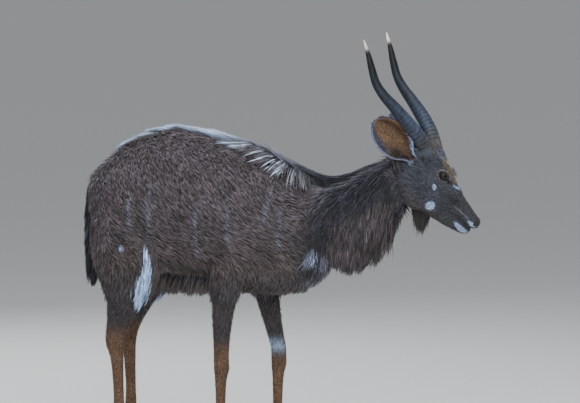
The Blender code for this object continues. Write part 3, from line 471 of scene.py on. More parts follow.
def trimmed(obj, point, normal):
    """Cuts away what lies beyond a plane and closes the cut."""
    mesh = bmesh.new()
    mesh.from_mesh(obj.data)
    everything = mesh.verts[:] + mesh.edges[:] + mesh.faces[:]
    bmesh.ops.bisect_plane(mesh, geom=everything, plane_co=point, plane_no=normal, clear_outer=True)
    rim = [edge for edge in mesh.edges if edge.is_boundary]
    bmesh.ops.holes_fill(mesh, edges=rim)
    bmesh.ops.triangulate(mesh, faces=mesh.faces)
    mesh.to_mesh(obj.data)
    mesh.free()
    return obj


def boolean(obj, others, operation):
    group = bpy.data.collections.new("operands")
    bpy.context.scene.collection.children.link(group)
    for other in others:
        bpy.context.scene.collection.objects.unlink(other)
        group.objects.link(other)
    modifier = obj.modifiers.new(operation.title(), "BOOLEAN")
    modifier.operation = operation
    modifier.solver = "EXACT"
    modifier.operand_type = "COLLECTION"
    modifier.collection = group
    baked(obj)
    for other in others:
        bpy.data.objects.remove(other)
    bpy.data.collections.remove(group)
    return obj


print("cuts are made by a plane or by a boolean")

# %% [markdown]
# ## Meshes as arrays
# A coat has hundreds of thousands of vertices. A loop over them is slow, so they are taken from the
# mesh as one array, and a sum is done on all of them at once.

# %% Arrays of a mesh


def vertex_vectors(data, what):
    found = np.empty(len(data.vertices) * 3)
    data.vertices.foreach_get(what, found)
    return found.reshape(-1, 3)


def places(data):
    return vertex_vectors(data, "co")


def normals(data):
    return vertex_vectors(data, "normal")


def set_places(data, points):
    data.vertices.foreach_set("co", points.ravel())
    data.update()


def mesh_of(name, points, triangles):
    """A mesh from arrays of points and of triangles."""
    data = bpy.data.meshes.new(name)
    data.vertices.add(len(points))
    data.vertices.foreach_set("co", np.asarray(points, np.float32).ravel())
    data.loops.add(len(triangles) * 3)
    data.loops.foreach_set("vertex_index", np.asarray(triangles, np.int32).ravel())
    data.polygons.add(len(triangles))
    data.polygons.foreach_set("loop_start", np.arange(0, len(triangles) * 3, 3, dtype=np.int32))
    data.update(calc_edges=True)
    return data


def add_colour(data, name, colours):
    layer = data.color_attributes.new(name, "FLOAT_COLOR", "POINT")
    full = np.ones((len(colours), 4))
    full[:, :3] = colours
    layer.data.foreach_set("color", full.ravel())


def add_values(data, name, values):
    data.attributes.new(name, "FLOAT", "POINT").data.foreach_set("value", np.asarray(values, float).ravel())


def add_vectors(data, name, vectors):
    data.attributes.new(name, "FLOAT_VECTOR", "POINT").data.foreach_set("vector", vectors.ravel())


print("a vertex can carry a colour, a value or a vector")

# %% Sums on arrays


def unit(vectors):
    return vectors / np.maximum(np.linalg.norm(vectors, axis=1), 1e-9)[:, None]


def step(low, high, value):
    """A smooth step from 0 at low to 1 at high."""
    share = np.clip((value - low) / (high - low), 0, 1)
    return share * share * (3 - 2 * share)


def in_head(points):
    """Points in the head's own frame, as f, s and u."""
    return (points - np.array(HEAD_ORIGIN)) @ np.array(HEAD_TURN)


def beyond_neck(points):
    """How far points lie in front of the plane where the head begins."""
    return (points - np.array(HEAD_CUT)) @ np.array(HEAD_CUT_NORMAL)


print("a smooth step at a quarter of its way:", round(float(step(0, 1, 0.25)), 3))

# %% [markdown]
# Fur is thick on the trunk and thin on the muzzle and the legs. The skin is moved inwards by that
# depth, so that the tips of the hair end where the solids do.

# %% The depth of the fur
FLANK = np.array([[0.0, -0.18, 0.9]])


def coat_depth(points):
    """How far the skin lies under the coat's outside."""
    head = step(-0.06, 0.02, beyond_neck(points))
    leg = 1 - step(0.42, 0.66, points[:, 2])
    depth = 0.0085 + 0.0025 * step(0.36, 0.44, points[:, 0])
    depth = depth * (1 - leg) + 0.0025 * leg
    muzzle = step(0.16, 0.24, in_head(points)[:, 0])
    return depth * (1 - head) + head * (0.0026 - 0.0016 * muzzle)


def sunk(obj):
    data = obj.data
    points = places(data)
    set_places(data, points - normals(data) * coat_depth(points)[:, None])
    return obj


print("depth of the fur on the flank:", coat_depth(FLANK).round(4))

# %% [markdown]
# Trunk, neck, ruff, fringe, tail and legs are fused into one skin. It is cut off above the hooves,
# because keratin and skin need a clean edge between them.

# %% The body's skin
tail_rings = [
    section(Vector((x, 0, z)), Vector((0, 1, 0)), Vector((-1, 0, 0)), half, behind, ahead, sides=16)
    for x, z, half, behind, ahead in through(TAIL, 3)
]
masses = [
    loft("trunk", spine_rings(TRUNK, 4, level=True, top=1.8, bottom=2.1)),
    loft("neck", spine_rings(NECK, 4)),
    loft("ruff", spine_rings(RUFF, 4, level=True, bottom=1.6)),
    loft("belly_fringe", spine_rings(BELLY_FRINGE, 3, level=True, bottom=1.5)),
    loft("tail_core", tail_rings),
    ellipsoid("tail_root", Vector((-0.405, 0, 0.975)), (0.030, 0.027, 0.034)),
] + [leg(name) for name in LEGS]
body_skin = fused("body_skin", masses, BODY_VOXEL, 20, soft_from=0.50)
trimmed(body_skin, HEAD_CUT + HEAD_CUT_NORMAL * 0.015, HEAD_CUT_NORMAL)
trimmed(body_skin, Vector((0, 0, HOOF_TOP - 0.004)), Vector((0, 0, -1)))
sunk(body_skin)
print("body skin:", len(body_skin.data.polygons), "faces")

# %% [markdown]
# ## The head
# The face is what people look at first. Cheeks, brows, lips, the orbit round each eye and the stubs
# that carry horns and ears are soft masses on the skull. Thin blades cut the mouth line and small
# ellipsoids hollow the nostrils, because a real opening shades itself from every side.

# %% The head's skin
MOUTH_LINE = ((0.218, 0.020), (0.236, 0.0270), (0.260, 0.0300), (0.285, 0.0280), (0.325, 0.0260))
EYE_OUT = Vector((0.26, 0.90, 0.34)).normalized()


def head_masses():
    turn = HEAD_TURN
    made = [
        ellipsoid("nose_bulb", head_place(0.289, 0, 0.052), (0.0165, 0.025, 0.016), turn),
        ellipsoid("chin", head_place(0.276, 0, 0.003), (0.021, 0.019, 0.014), turn),
    ]
    for side, _ in SIDES:
        out = Vector((EYE_OUT.x, side * EYE_OUT.y, EYE_OUT.z))
        eye = Vector((EYE_PLACE[0], side * EYE_PLACE[1], EYE_PLACE[2]))
        orbit = eye - out * 0.004
        facing = HEAD_TURN @ out.to_track_quat("Y", "Z").to_matrix()
        point, direction = horn_foot(side)
        root, length, _, _ = ear_frame(side)
        made += [
            ellipsoid("cheek", head_place(0.075, side * 0.034, -0.022), (0.066, 0.021, 0.048), turn),
            ellipsoid("brow", head_place(0.098, side * 0.032, 0.0975), (0.036, 0.018, 0.016), turn),
            ellipsoid("orbit", head_place(*orbit), (0.027, 0.0135, 0.0215), facing),
            ellipsoid("cheekbone", head_place(0.140, side * 0.037, 0.068), (0.062, 0.016, 0.022), turn),
            ellipsoid("upper_lip", head_place(0.270, side * 0.018, 0.038), (0.032, 0.015, 0.013), turn),
            ellipsoid("lower_lip", head_place(0.258, side * 0.013, 0.016), (0.030, 0.014, 0.010), turn),
            cone("horn_stub", point - direction * 0.052, direction, 0.046, 0.031, HORN_BASE_RADIUS + 0.003),
            cone("ear_stub", root - length * 0.055, length, 0.054, 0.036, 0.0240),
        ]
    return made


def mouth_slit(side):
    """A thin blade that opens the line between the lips."""
    mesh = bmesh.new()
    inner, outer, half = 0.008, 0.060, 0.0012
    rows = []
    for i, (f, u) in enumerate(through(MOUTH_LINE, 4)):
        tall = half if i else half / 3
        corners = ((inner, -tall), (outer, -tall * 2.2), (outer, tall * 2.2), (inner, tall))
        rows.append([mesh.verts.new(head_place(f, side * reach, u + lift)) for reach, lift in corners])
    for low, high in zip(rows, rows[1:]):
        for k in range(4):
            mesh.faces.new((low[k - 1], low[k], high[k], high[k - 1]))
    mesh.faces.new(rows[0])
    mesh.faces.new(list(reversed(rows[-1])))
    bmesh.ops.recalc_face_normals(mesh, faces=mesh.faces)
    return from_bmesh("mouth_slit", mesh)


def nostril(side):
    turn = HEAD_TURN @ Matrix.Rotation(side * math.radians(-30), 3, "Z")
    turn = turn @ Matrix.Rotation(math.radians(15), 3, "Y")
    return ellipsoid("nostril", head_place(0.2985, side * 0.0165, 0.055), (0.012, 0.0040, 0.0065), turn)


masses = [head_loft("skull", SKULL, top=2.1, bottom=2.2), head_loft("jaw", JAW, top=2.2)]
masses += head_masses() + [loft("nape", spine_rings(NECK, 5))]
head_skin = fused("head_skin", masses, HEAD_VOXEL, 26)
trimmed(head_skin, HEAD_CUT - HEAD_CUT_NORMAL * 0.030, -HEAD_CUT_NORMAL)
sunk(head_skin)
boolean(head_skin, [make(side) for side, _ in SIDES for make in (mouth_slit, nostril)], "DIFFERENCE")
print("head skin:", len(head_skin.data.polygons), "faces")

# %% [markdown]
# ## Colours of the coat
# The colours are a function of the place on the body, so the skin and every tuft that grows from it
# agree. The trunk is slate with a few faint pale stripes, the neck is near black, the lower legs are
# orange, and the face carries white marks. Each mark is a soft blob at a measured place.

# %% Palette


def paint(red, green, blue):
    """A colour from 0 to 255 as a picture shows it, in the linear values that a renderer takes."""
    share = np.array([red, green, blue]) / 255
    return np.where(share <= 0.04045, share / 12.92, ((share + 0.055) / 1.055) ** 2.4)


SLATE = paint(92, 85, 89)
UMBER = paint(88, 79, 74)
CHARCOAL = paint(46, 48, 58)
SOOT = paint(30, 29, 33)
RUFF_BROWN = paint(67, 59, 58)
RUSTY = paint(112, 88, 68)
TAN = paint(112, 99, 78)
BUFF = paint(122, 116, 108)
FACE_GREY = paint(72, 77, 88)
MUZZLE = paint(58, 61, 67)
JAW_BROWN = paint(82, 72, 66)
# The blue in WHITE and SHADED_WHITE is painted sky light; SHADED_WHITE is also darkened as painted shade.
WHITE = paint(206, 227, 250)
SHADED_WHITE = paint(174, 201, 238)
PALE = paint(140, 146, 168)

# Faint pale stripes down the flanks: place along the body, lowest and highest point.
STRIPES = (
    (-0.238, 0.80, 0.93),
    (-0.165, 0.80, 0.96),
    (0.009, 0.74, 0.90),
    (0.120, 0.78, 0.92),
    (0.245, 0.86, 0.95),
    (0.292, 0.78, 0.92),
)

# The height of the border between the nape and the side of the neck: places along the body, heights.
NAPE_LINE = ((0.40, 0.52, 0.60, 0.70), (0.930, 0.960, 1.000, 1.060))


def blob(points, centre, radii, soft=0.35):
    """1 inside an ellipsoid, 0 outside it, with a soft edge. It is mirrored to both sides."""
    here = np.column_stack([points[:, 0], np.abs(points[:, 1]), points[:, 2]])
    reach = np.linalg.norm((here - np.array(centre)) / np.array(radii), axis=1)
    return 1 - step(1 - soft, 1 + soft, reach)


def mix(base, colour, share):
    return base * (1 - share[:, None]) + np.asarray(colour) * share[:, None]


print("white as the renderer takes it:", WHITE.round(3))

# %% Colours of trunk, neck and legs


def body_colour(points):
    x, y, z = points.T
    colour = np.tile(SLATE, (len(points), 1))
    colour = mix(colour, UMBER, 0.75 * (1 - step(0.62, 0.88, z)))
    colour = mix(colour, CHARCOAL, 0.35 * (1 - step(-0.40, -0.30, x)))
    neck = step(0.33, 0.45, x - 0.25 * (z - 0.85))
    colour = mix(colour, CHARCOAL, 0.95 * neck)
    colour = mix(colour, RUFF_BROWN, 0.55 * neck * (1 - step(0.74, 0.86, z - 0.3 * (x - 0.45))))
    nape = neck * step(0.01, 0.05, z - np.interp(x, *NAPE_LINE))
    colour = mix(colour, SLATE, 0.55 * nape)
    for place, low, high in STRIPES:
        along = step(low - 0.03, low + 0.02, z) * (1 - step(high - 0.02, high + 0.03, z))
        centre = place + 0.06 * (z - 0.85)
        colour = mix(colour, PALE, 0.42 * along * np.exp(-(((x - centre) / 0.0065) ** 2)))
    spine = np.exp(-((y / 0.007) ** 2)) * step(1.0, 1.03, z) * (1 - step(0.06, 0.16, x))
    colour = mix(colour, WHITE, 0.8 * spine)
    colour = mix(colour, SHADED_WHITE, blob(points, (-0.266, 0.172, 0.755), (0.0095, 0.05, 0.0095)))
    colour = mix(colour, SOOT, 0.7 * blob(points, (0.385, 0.09, 0.700), (0.030, 0.07, 0.040)))
    return mix(colour, PALE, 0.6 * blob(points, (0.430, 0.065, 0.705), (0.030, 0.07, 0.048), 0.6))


def leg_colour(points, colour):
    x, y, z = points.T
    fore = x > -0.08
    inner = fore & (np.abs(y) < 0.100)
    edge = np.where(fore, np.where(y > 0, 0.388, 0.436), 0.478)
    colour = mix(colour, CHARCOAL, 0.55 * (1 - step(0.60, 0.72, z)))
    colour = mix(colour, RUSTY, 1 - step(edge - 0.045, edge + 0.030, z))
    colour = mix(colour, SHADED_WHITE, 0.75 * inner * np.exp(-(((z - 0.412) / 0.024) ** 2)))
    return mix(colour, SHADED_WHITE, 0.8 * np.exp(-(((z - 0.088) / 0.010) ** 2)))


print("stripes on each flank:", len(STRIPES))

# %% Markings of the face


def face_colour(points, colour):
    """The markings of the face, in the head's own frame."""
    here = in_head(points)
    f, s, u = here.T
    wide = np.abs(s)
    face = np.tile(FACE_GREY, (len(points), 1))
    face = mix(face, MUZZLE, step(0.12, 0.19, f))
    face = mix(face, JAW_BROWN, 0.6 * (1 - step(-0.045, -0.005, u)) * (1 - step(0.16, 0.24, f)))
    crown = (1 - step(0.015, 0.027, wide)) * step(0.052, 0.072, f) * (1 - step(0.140, 0.158, f))
    face = mix(face, TAN, 0.9 * crown * step(0.07, 0.09, u))
    face = mix(face, BUFF, 0.8 * blob(here, EYE_PLACE, (0.0240, 0.030, 0.0180), 0.15))
    face = mix(face, SOOT, 0.95 * blob(here, EYE_PLACE, (0.0205, 0.030, 0.0140), 0.15))
    face = mix(face, SOOT, 0.9 * blob(here, (0.136, 0.036, 0.092), (0.014, 0.02, 0.0050)))
    line = 0.172 - 0.75 * wide
    chevron = np.exp(-(((f - line) / 0.0045) ** 2)) * (1 - step(0.020, 0.028, wide)) * step(0.06, 0.075, u)
    face = mix(face, SHADED_WHITE, 0.9 * chevron)
    face = mix(face, SHADED_WHITE, blob(here, (0.144, 0.042, -0.011), (0.0140, 0.03, 0.0170), 0.2))
    drop = np.column_stack([f + u, s, u - f])
    face = mix(face, SHADED_WHITE, blob(drop, (0.162, 0.056, -0.062), (0.0092, 0.02, 0.0145), 0.25))
    face = mix(face, SHADED_WHITE, 0.95 * blob(here, (0.288, 0.026, 0.0425), (0.0165, 0.014, 0.0065), 0.25))
    face = mix(face, SHADED_WHITE, 0.95 * blob(here, (0.266, 0.008, 0.004), (0.030, 0.022, 0.0125), 0.25))
    crease = np.exp(-(((u - 0.0475) / 0.0022) ** 2)) * step(0.195, 0.21, f) * (1 - step(0.268, 0.28, f))
    face = mix(face, PALE, 0.6 * crease * step(0.015, 0.022, wide))
    face = mix(face, PALE, 0.8 * blob(here, (-0.035, 0.052, 0.090), (0.016, 0.02, 0.012)))
    face = mix(face, PALE, 0.8 * blob(here, (-0.008, 0.070, 0.056), (0.015, 0.02, 0.010)))
    face = mix(face, SOOT, step(0.288, 0.296, f) * step(0.046, 0.050, u))
    head = step(-0.015, 0.030, beyond_neck(points))
    return mix(colour, 0, head) + face * head[:, None]


def coat_colour(points):
    return face_colour(points, leg_colour(points, body_colour(points)))


print("colour of the flank:", coat_colour(FLANK).round(3))

# %% [markdown]
# ## The lie of the fur
# Fur doesn't stand up: it lies backwards over the trunk, downwards on the legs, and from the nose
# back over the face. Each tuft is turned to this direction, flattened into the surface where it
# grows. A tuft that ignored it would make the coat look like a brush.

# %% The lie of the fur
# Over the withers the hair circles round one place: x and z.
WHORL = (0.330, 0.990)


def coat_lie(points, outward):
    """The direction in which the fur lies, along the surface."""
    x, y, z = points.T
    zero = np.zeros(len(x))
    steep = step(0.82, 1.02, z)
    lie = np.column_stack([0.95 - 0.30 * steep, 0.15 * np.sign(y), -0.45 - 0.60 * steep])
    ahead, above = x - WHORL[0], z - WHORL[1]
    ring = np.exp(-(((np.hypot(ahead, above) - 0.075) / 0.045) ** 2)) * (1 - step(0.0, 0.05, ahead))
    around = unit(np.column_stack([-above, zero, ahead]))
    lie = lie * (1 - ring[:, None]) + around * ring[:, None] * 1.4
    low = (1 - step(0.62, 0.78, z))[:, None]
    lie = lie * (1 - low) + np.array([-0.25, 0, -1.1]) * low
    rump = ((1 - step(-0.37, -0.29, x)) * (1 - step(0.84, 0.96, z)))[:, None]
    lie = lie * (1 - rump) + np.array([-0.35, 0, -1.2]) * rump
    neck = step(0.34, 0.42, x)[:, None]
    lie = lie * (1 - neck) + np.array([-0.40, 0, -1.0]) * neck
    leg = (1 - step(0.52, 0.66, z))[:, None]
    lie = lie * (1 - leg) + np.array([-0.10, 0, -1.0]) * leg
    head = step(-0.02, 0.03, beyond_neck(points))[:, None]
    back = np.array(HEAD_TURN @ Vector((-1, 0, -0.25)))
    lie = lie * (1 - head) + back * head
    return unit(lie - outward * (lie * outward).sum(axis=1)[:, None])


print("lie of the fur on the flank:", coat_lie(FLANK, np.array([[0.0, -1.0, 0.0]])).round(2))

# %% [markdown]
# Head and body become one object. Its triangles also go into a search tree, because every long hair
# asks later where the skin is.

# %% The finished skin
skin = joined("skin", [body_skin, head_skin])
bare = bmesh.new()
bare.from_mesh(skin.data)
bmesh.ops.triangulate(bare, faces=bare.faces)
bare.to_mesh(skin.data)
bare.free()
SKIN_POINTS, SKIN_NORMALS = places(skin.data), normals(skin.data)
SKIN_FACES = np.empty(len(skin.data.polygons) * 3, np.int32)
skin.data.polygons.foreach_get("vertices", SKIN_FACES)
SKIN_FACES = SKIN_FACES.reshape(-1, 3)
SKIN_TREE = BVHTree.FromPolygons(SKIN_POINTS.tolist(), SKIN_FACES.tolist())
add_colour(skin.data, "coat", coat_colour(SKIN_POINTS))
print("skin:", len(SKIN_FACES), "triangles")

# %% [markdown]
# ## Materials
# All fur shares one recipe: the colour comes from the attribute that was painted on the mesh, each
# tuft is a little lighter or darker than its neighbours, and roots are darker than tips. Keratin,
# wet skin and the eye differ mostly in how sharply they shine.

# %% Building a tree of nodes


def wired(tree, kind, inputs=None, **settings):
    """A new node with its settings. Its inputs are set to values or linked to other nodes."""
    node = tree.nodes.new(kind)
    for key, value in settings.items():
        setattr(node, key, value)
    for socket, value in (inputs or {}).items():
        if isinstance(value, bpy.types.NodeSocket):
            tree.links.new(value, node.inputs[socket])
        else:
            node.inputs[socket].default_value = value
    return node


def new_material(name):
    """A material, its tree of nodes and its shader."""
    made = bpy.data.materials.new(name)
    made.use_nodes = True
    return made, made.node_tree, made.node_tree.nodes["Principled BSDF"]


print("a node is made, set and linked by one call")

# %% [markdown]
# Real fur changes its tone from place to place. These helpers for noise, products and ranges keep
# each recipe short, and everything that they make can be baked.

# %% Values and colours in a material


def attribute(tree, name, output="Fac"):
    return wired(tree, "ShaderNodeAttribute", attribute_name=name).outputs[output]


def ranged(tree, value, low, high, from_low=0.0, from_high=1.0):
    """A value carried from one range to another."""
    ends = {"Value": value, "From Min": from_low, "From Max": from_high, "To Min": low, "To Max": high}
    return wired(tree, "ShaderNodeMapRange", ends).outputs["Result"]


def product(tree, first, second):
    return wired(tree, "ShaderNodeMath", {0: first, 1: second}, operation="MULTIPLY").outputs[0]


def colour_product(tree, first, second):
    """A colour times a value or another colour."""
    return wired(tree, "ShaderNodeVectorMath", {0: first, 1: second}, operation="MULTIPLY").outputs[0]


def tint_between(tree, share, low, high):
    """A colour between two, which may be brighter than white because it multiplies another."""
    gap = [b - a for a, b in zip(low, high)]
    node = wired(tree, "ShaderNodeVectorMath", {0: share, 1: gap, 2: low}, operation="MULTIPLY_ADD")
    return node.outputs[0]


def noise(tree, scale, detail=3.0, stretch=(1, 1, 1)):
    """A noise in metres on the piece, stretched along an axis if wanted."""
    place = wired(tree, "ShaderNodeTexCoord").outputs["Object"]
    mapping = wired(tree, "ShaderNodeMapping", {"Vector": place, "Scale": stretch})
    inputs = {"Vector": mapping.outputs["Vector"], "Scale": scale, "Detail": detail}
    return wired(tree, "ShaderNodeTexNoise", inputs).outputs["Fac"]


def bump(tree, height, distance):
    inputs = {"Height": height, "Distance": distance, "Strength": 1.0}
    return wired(tree, "ShaderNodeBump", inputs).outputs["Normal"]


print("helpers for materials are ready")

# %% [markdown]
# Hair shines softly and glows a little at its edge, which sheen imitates. Blender has hair curves and
# a shader for them, but a plain mesh with a plain shader can be shown everywhere.

# %% Fur and skin
# A tuft's tint: brown in the darkest, blue grey in the lightest; the blue is a painted sky sheen.
DARK_TINT = (0.26, 0.22, 0.19)
LIGHT_TINT = (1.88, 1.89, 1.98)
# How many clouds of lighter and darker fur, and how many fine streaks, a metre holds.
CLOUDS, STREAKS = 14, 260


def fur_material(name, roughness, sheen, root_share, tip_share):
    made, tree, shader = new_material(name)
    tint = tint_between(tree, attribute(tree, "tone"), DARK_TINT, LIGHT_TINT)
    along = ranged(tree, attribute(tree, "along"), root_share, tip_share)
    cloud = ranged(tree, noise(tree, CLOUDS), 0.78, 1.24, 0.3, 0.7)
    hair = colour_product(tree, attribute(tree, "coat", "Color"), tint)
    shaded = colour_product(tree, hair, product(tree, along, cloud))
    tree.links.new(shaded, shader.inputs["Base Color"])
    shader.inputs["Roughness"].default_value = roughness
    shader.inputs["Specular IOR Level"].default_value = 0.35
    shader.inputs["Sheen Weight"].default_value = sheen
    shader.inputs["Sheen Roughness"].default_value = 0.5
    return made


def skin_material(name, tint):
    made, tree, shader = new_material(name)
    streaks = noise(tree, STREAKS, 2.0, (0.35, 1.0, 0.5))
    streak_shade = ranged(tree, streaks, 0.60, 1.15, 0.3, 0.7)
    cloud = ranged(tree, noise(tree, CLOUDS), 0.8, 1.2, 0.3, 0.7)
    hair = colour_product(tree, attribute(tree, "coat", "Color"), tint)
    shaded = colour_product(tree, hair, product(tree, streak_shade, cloud))
    tree.links.new(shaded, shader.inputs["Base Color"])
    shader.inputs["Roughness"].default_value = 0.75
    shader.inputs["Specular IOR Level"].default_value = 0.2
    tree.links.new(bump(tree, streaks, 0.0015), shader.inputs["Normal"])
    return made


FUR = fur_material("short fur", 0.62, 0.12, 0.50, 1.30)
LONG_FUR = fur_material("long hair", 0.50, 0.10, 0.70, 1.20)
# The skin is tinted darker and browner than the hair: painted shade in the gaps between the tufts.
SKIN = skin_material("skin under the fur", (0.72, 0.66, 0.62))
EAR_SKIN = skin_material("skin of the ears", (1.0, 1.0, 1.0))
print("materials:", FUR.name, LONG_FUR.name, SKIN.name, EAR_SKIN.name)

# %% [markdown]
# A piece needs its material and the solids that it stands for. One helper gives it both, so that nothing is
# forgotten.

# %% Finishing a piece


def finished(obj, finish, slot, *nodes):
    obj.data.materials.clear()
    obj.data.materials.append(finish)
    obj.data.transform(Matrix.Translation(SHIFT))
    obj.data.shade_smooth()
    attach(obj, "root")
    if nodes:
        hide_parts(*nodes)
    return obj


LEG_NODES = ["leg_" + name for name in LEGS]
skin.name = "skin"
finished(skin, SKIN, "body_coat", "head", "neck", "torso", "tail", *LEG_NODES)
print("the skin stands for", 4 + len(LEG_NODES), "solids")

# %% [markdown]
# ## Tufts by Geometry Nodes
# A coat repeats one small shape many thousand times, which is work for Geometry Nodes. The tree
# scatters points over a patch of skin, turns a tuft at each point to the surface and to the lie of
# the fur, and varies its size, spin and tone. It ends in Realize Instances, so that the coat becomes
# a plain mesh.

# %% A tuft
# A tuft is a flat blade with three sides that leaves the skin and bends over: (along, width, height).
BLADE = ((0.0, 0.75, -0.05), (0.42, 1.0, 0.17))
BLADE_TIP = (1.0, 0.27)
TUFT_POINTS = len(BLADE) * 3 + 1


def blade_faces(rows):
    """The triangles of one blade: its three sides, its pointed end and the lid over its root."""
    faces = []
    for row in range(rows - 1):
        for k in range(3):
            a, b = row * 3 + k, row * 3 + (k + 1) % 3
            faces += [(a, b, b + 3), (a, b + 3, a + 3)]
    last = (rows - 1) * 3
    faces += [(last + k, last + (k + 1) % 3, last + 3) for k in range(3)] + [(2, 1, 0)]
    return np.array(faces)


def facing_out(faces, points):
    """The faces, turned over if the volume in them is negative."""
    first = points[faces]
    volume = np.einsum("ij,ij->i", first[:, 0], np.cross(first[:, 1], first[:, 2])).sum()
    return faces[:, ::-1] if volume < 0 else faces


def tuft_mesh():
    points, along, across = [], [], []
    for t, width, height in BLADE:
        for side, lift in ((-0.5, 0.0), (0.0, 0.05), (0.5, 0.0)):
            points.append((t, side * width, height + lift))
            along.append(t)
            across.append(side + 0.5)
    points = np.array(points + [(BLADE_TIP[0], 0.0, BLADE_TIP[1])])
    data = mesh_of("tuft", points, facing_out(blade_faces(len(BLADE)), points))
    add_values(data, "along", along + [1.0])
    add_values(data, "across", across + [0.5])
    return data


tuft = placed("tuft", tuft_mesh())
print("tuft:", len(tuft.data.polygons), "triangles")

# %% [markdown]
# A tree of nodes can be drawn by hand. Here a script wires it, and the script can be read from top to
# bottom like a recipe.

# %% The tree that grows a coat
# What a coat is made with, unless its call says otherwise: tufts to a square metre, metres, radians.
COAT_INPUTS = (("Density", 30000.0), ("Length", 0.03), ("Width", 0.004), ("Spin", 0.25))


def named(tree, name, kind="FLOAT"):
    """A value that the patch of skin carries."""
    node = wired(tree, "GeometryNodeInputNamedAttribute", {"Name": name}, data_type=kind)
    return node.outputs["Attribute"]


def stored(tree, name, geometry, value, kind, domain):
    inputs = {"Name": name, "Geometry": geometry, "Value": value}
    node = wired(tree, "GeometryNodeStoreNamedAttribute", inputs, data_type=kind, domain=domain)
    return node.outputs["Geometry"]


def chance(tree, low, high, seed):
    """A random value for each tuft."""
    inputs = {2: low, 3: high, 8: seed}
    return wired(tree, "FunctionNodeRandomValue", inputs, data_type="FLOAT").outputs[1]


def tuft_turn(tree, start, scatter):
    """Lays each tuft along the fur, then turns and tips it a little."""
    lying = {"Rotation": scatter["Rotation"], "Vector": named(tree, "lie", "FLOAT_VECTOR")}
    lie = wired(tree, "FunctionNodeAlignRotationToVector", lying, axis="X", pivot_axis="Z")
    spin = product(tree, start["Spin"], chance(tree, -1.0, 1.0, 3))
    turn = wired(tree, "ShaderNodeCombineXYZ", {"Z": spin, "Y": chance(tree, -0.20, 0.14, 4)})
    extra = wired(tree, "FunctionNodeEulerToRotation", {0: turn.outputs[0]})
    turned = {"Rotation": lie.outputs["Rotation"], "Rotate By": extra.outputs[0]}
    return wired(tree, "FunctionNodeRotateRotation", turned, rotation_space="LOCAL").outputs["Rotation"]


def tuft_size(tree, start):
    reach = product(tree, start["Length"], named(tree, "reach"))
    reach = product(tree, reach, chance(tree, 0.65, 1.25, 5))
    width = product(tree, start["Width"], chance(tree, 0.7, 1.3, 6))
    return wired(tree, "ShaderNodeCombineXYZ", {"X": reach, "Y": width, "Z": reach}).outputs[0]


print("inputs with their usual values:", COAT_INPUTS)

# %% The whole tree


def new_tree():
    tree = bpy.data.node_groups.new("Coat", "GeometryNodeTree")
    sockets = [("Geometry", "Geometry"), ("Tuft", "Object"), ("Material", "Material"), ("Seed", "Int")]
    sockets += [(name, "Float") for name, _ in COAT_INPUTS]
    for name, kind in sockets:
        tree.interface.new_socket(name, in_out="INPUT", socket_type="NodeSocket" + kind)
    tree.interface.new_socket("Geometry", in_out="OUTPUT", socket_type="NodeSocketGeometry")
    return tree


def coat_tree():
    tree = new_tree()
    start = wired(tree, "NodeGroupInput").outputs
    density = product(tree, start["Density"], named(tree, "cover"))
    spots = {"Mesh": start["Geometry"], "Density": density, "Seed": start["Seed"]}
    scatter = wired(tree, "GeometryNodeDistributePointsOnFaces", spots).outputs
    position = wired(tree, "GeometryNodeInputPosition").outputs[0]
    shape = wired(tree, "GeometryNodeObjectInfo", {"Object": start["Tuft"]})
    planting = {
        "Points": stored(tree, "root", scatter["Points"], position, "FLOAT_VECTOR", "POINT"),
        "Instance": shape.outputs["Geometry"],
        "Rotation": tuft_turn(tree, start, scatter),
        "Scale": tuft_size(tree, start),
    }
    plant = wired(tree, "GeometryNodeInstanceOnPoints", planting).outputs["Instances"]
    toned = stored(tree, "tone", plant, chance(tree, 0.0, 1.0, 7), "FLOAT", "INSTANCE")
    real = wired(tree, "GeometryNodeRealizeInstances", {"Geometry": toned}).outputs["Geometry"]
    finish = wired(tree, "GeometryNodeSetMaterial", {"Geometry": real, "Material": start["Material"]})
    wired(tree, "NodeGroupOutput", {"Geometry": finish.outputs["Geometry"]})
    return tree


COAT_TREE = coat_tree()
COAT_SOCKETS = {
    item.name: item.identifier
    for item in COAT_TREE.interface.items_tree
    if item.item_type == "SOCKET" and item.in_out == "INPUT"
}
print("inputs of the tree:", ", ".join(COAT_SOCKETS))

# %% [markdown]
# ## A map for the coat
# Baking writes a material's colours into a flat picture. An automatic unwrap would make an island of
# every tuft. This map is built from the roots, so that neighbours lie side by side on it.

# %% The map for baking
# Each tuft is a small patch of the map, at its root's place on an unwrap of the skin.
PATCH = 0.003
AXIS = ((-0.414, -0.25, -0.02, 0.19, 0.45, 0.70), (0.940, 0.910, 0.895, 0.865, 0.878, 1.012))


def unwrapped(roots):
    """The roots on a flat map: along the body and round it, along the head, or down each leg."""
    x, y, z = roots.T
    axis = np.interp(x, *AXIS)
    u, v = x, np.arctan2(y, z - axis) / (2 * math.pi) + 0.5
    head = beyond_neck(roots) > 0
    f, s, up = in_head(roots).T
    u = np.where(head, f, u)
    v = np.where(head, np.arctan2(s, up - 0.03) / (2 * math.pi) + 0.5, v)
    for i, name in enumerate(LEGS):
        rows, spread, side, swing = LEGS[name]
        upwards = np.array(rows[::-1])
        share = np.clip((SWING_FROM - z) / (SWING_FROM - SWING_TO), 0, 1)
        centre_x = np.interp(z, upwards[:, 1], upwards[:, 0]) + swing * share
        centre_y = side * np.interp(z, *spread)
        fore = name.startswith("fore")
        mine = (z < 0.60) & (np.sign(y) == side) & ((x > -0.08) == fore) & ~head
        u = np.where(mine, z + i, u)
        v = np.where(mine, np.arctan2(y - centre_y, x - centre_x) / (2 * math.pi) + 0.5, v)
    flat = np.column_stack([u, v])
    low, high = flat.min(axis=0), flat.max(axis=0)
    return (flat - low) / np.maximum(high - low, 1e-6) * (1 - 2 * PATCH) + PATCH


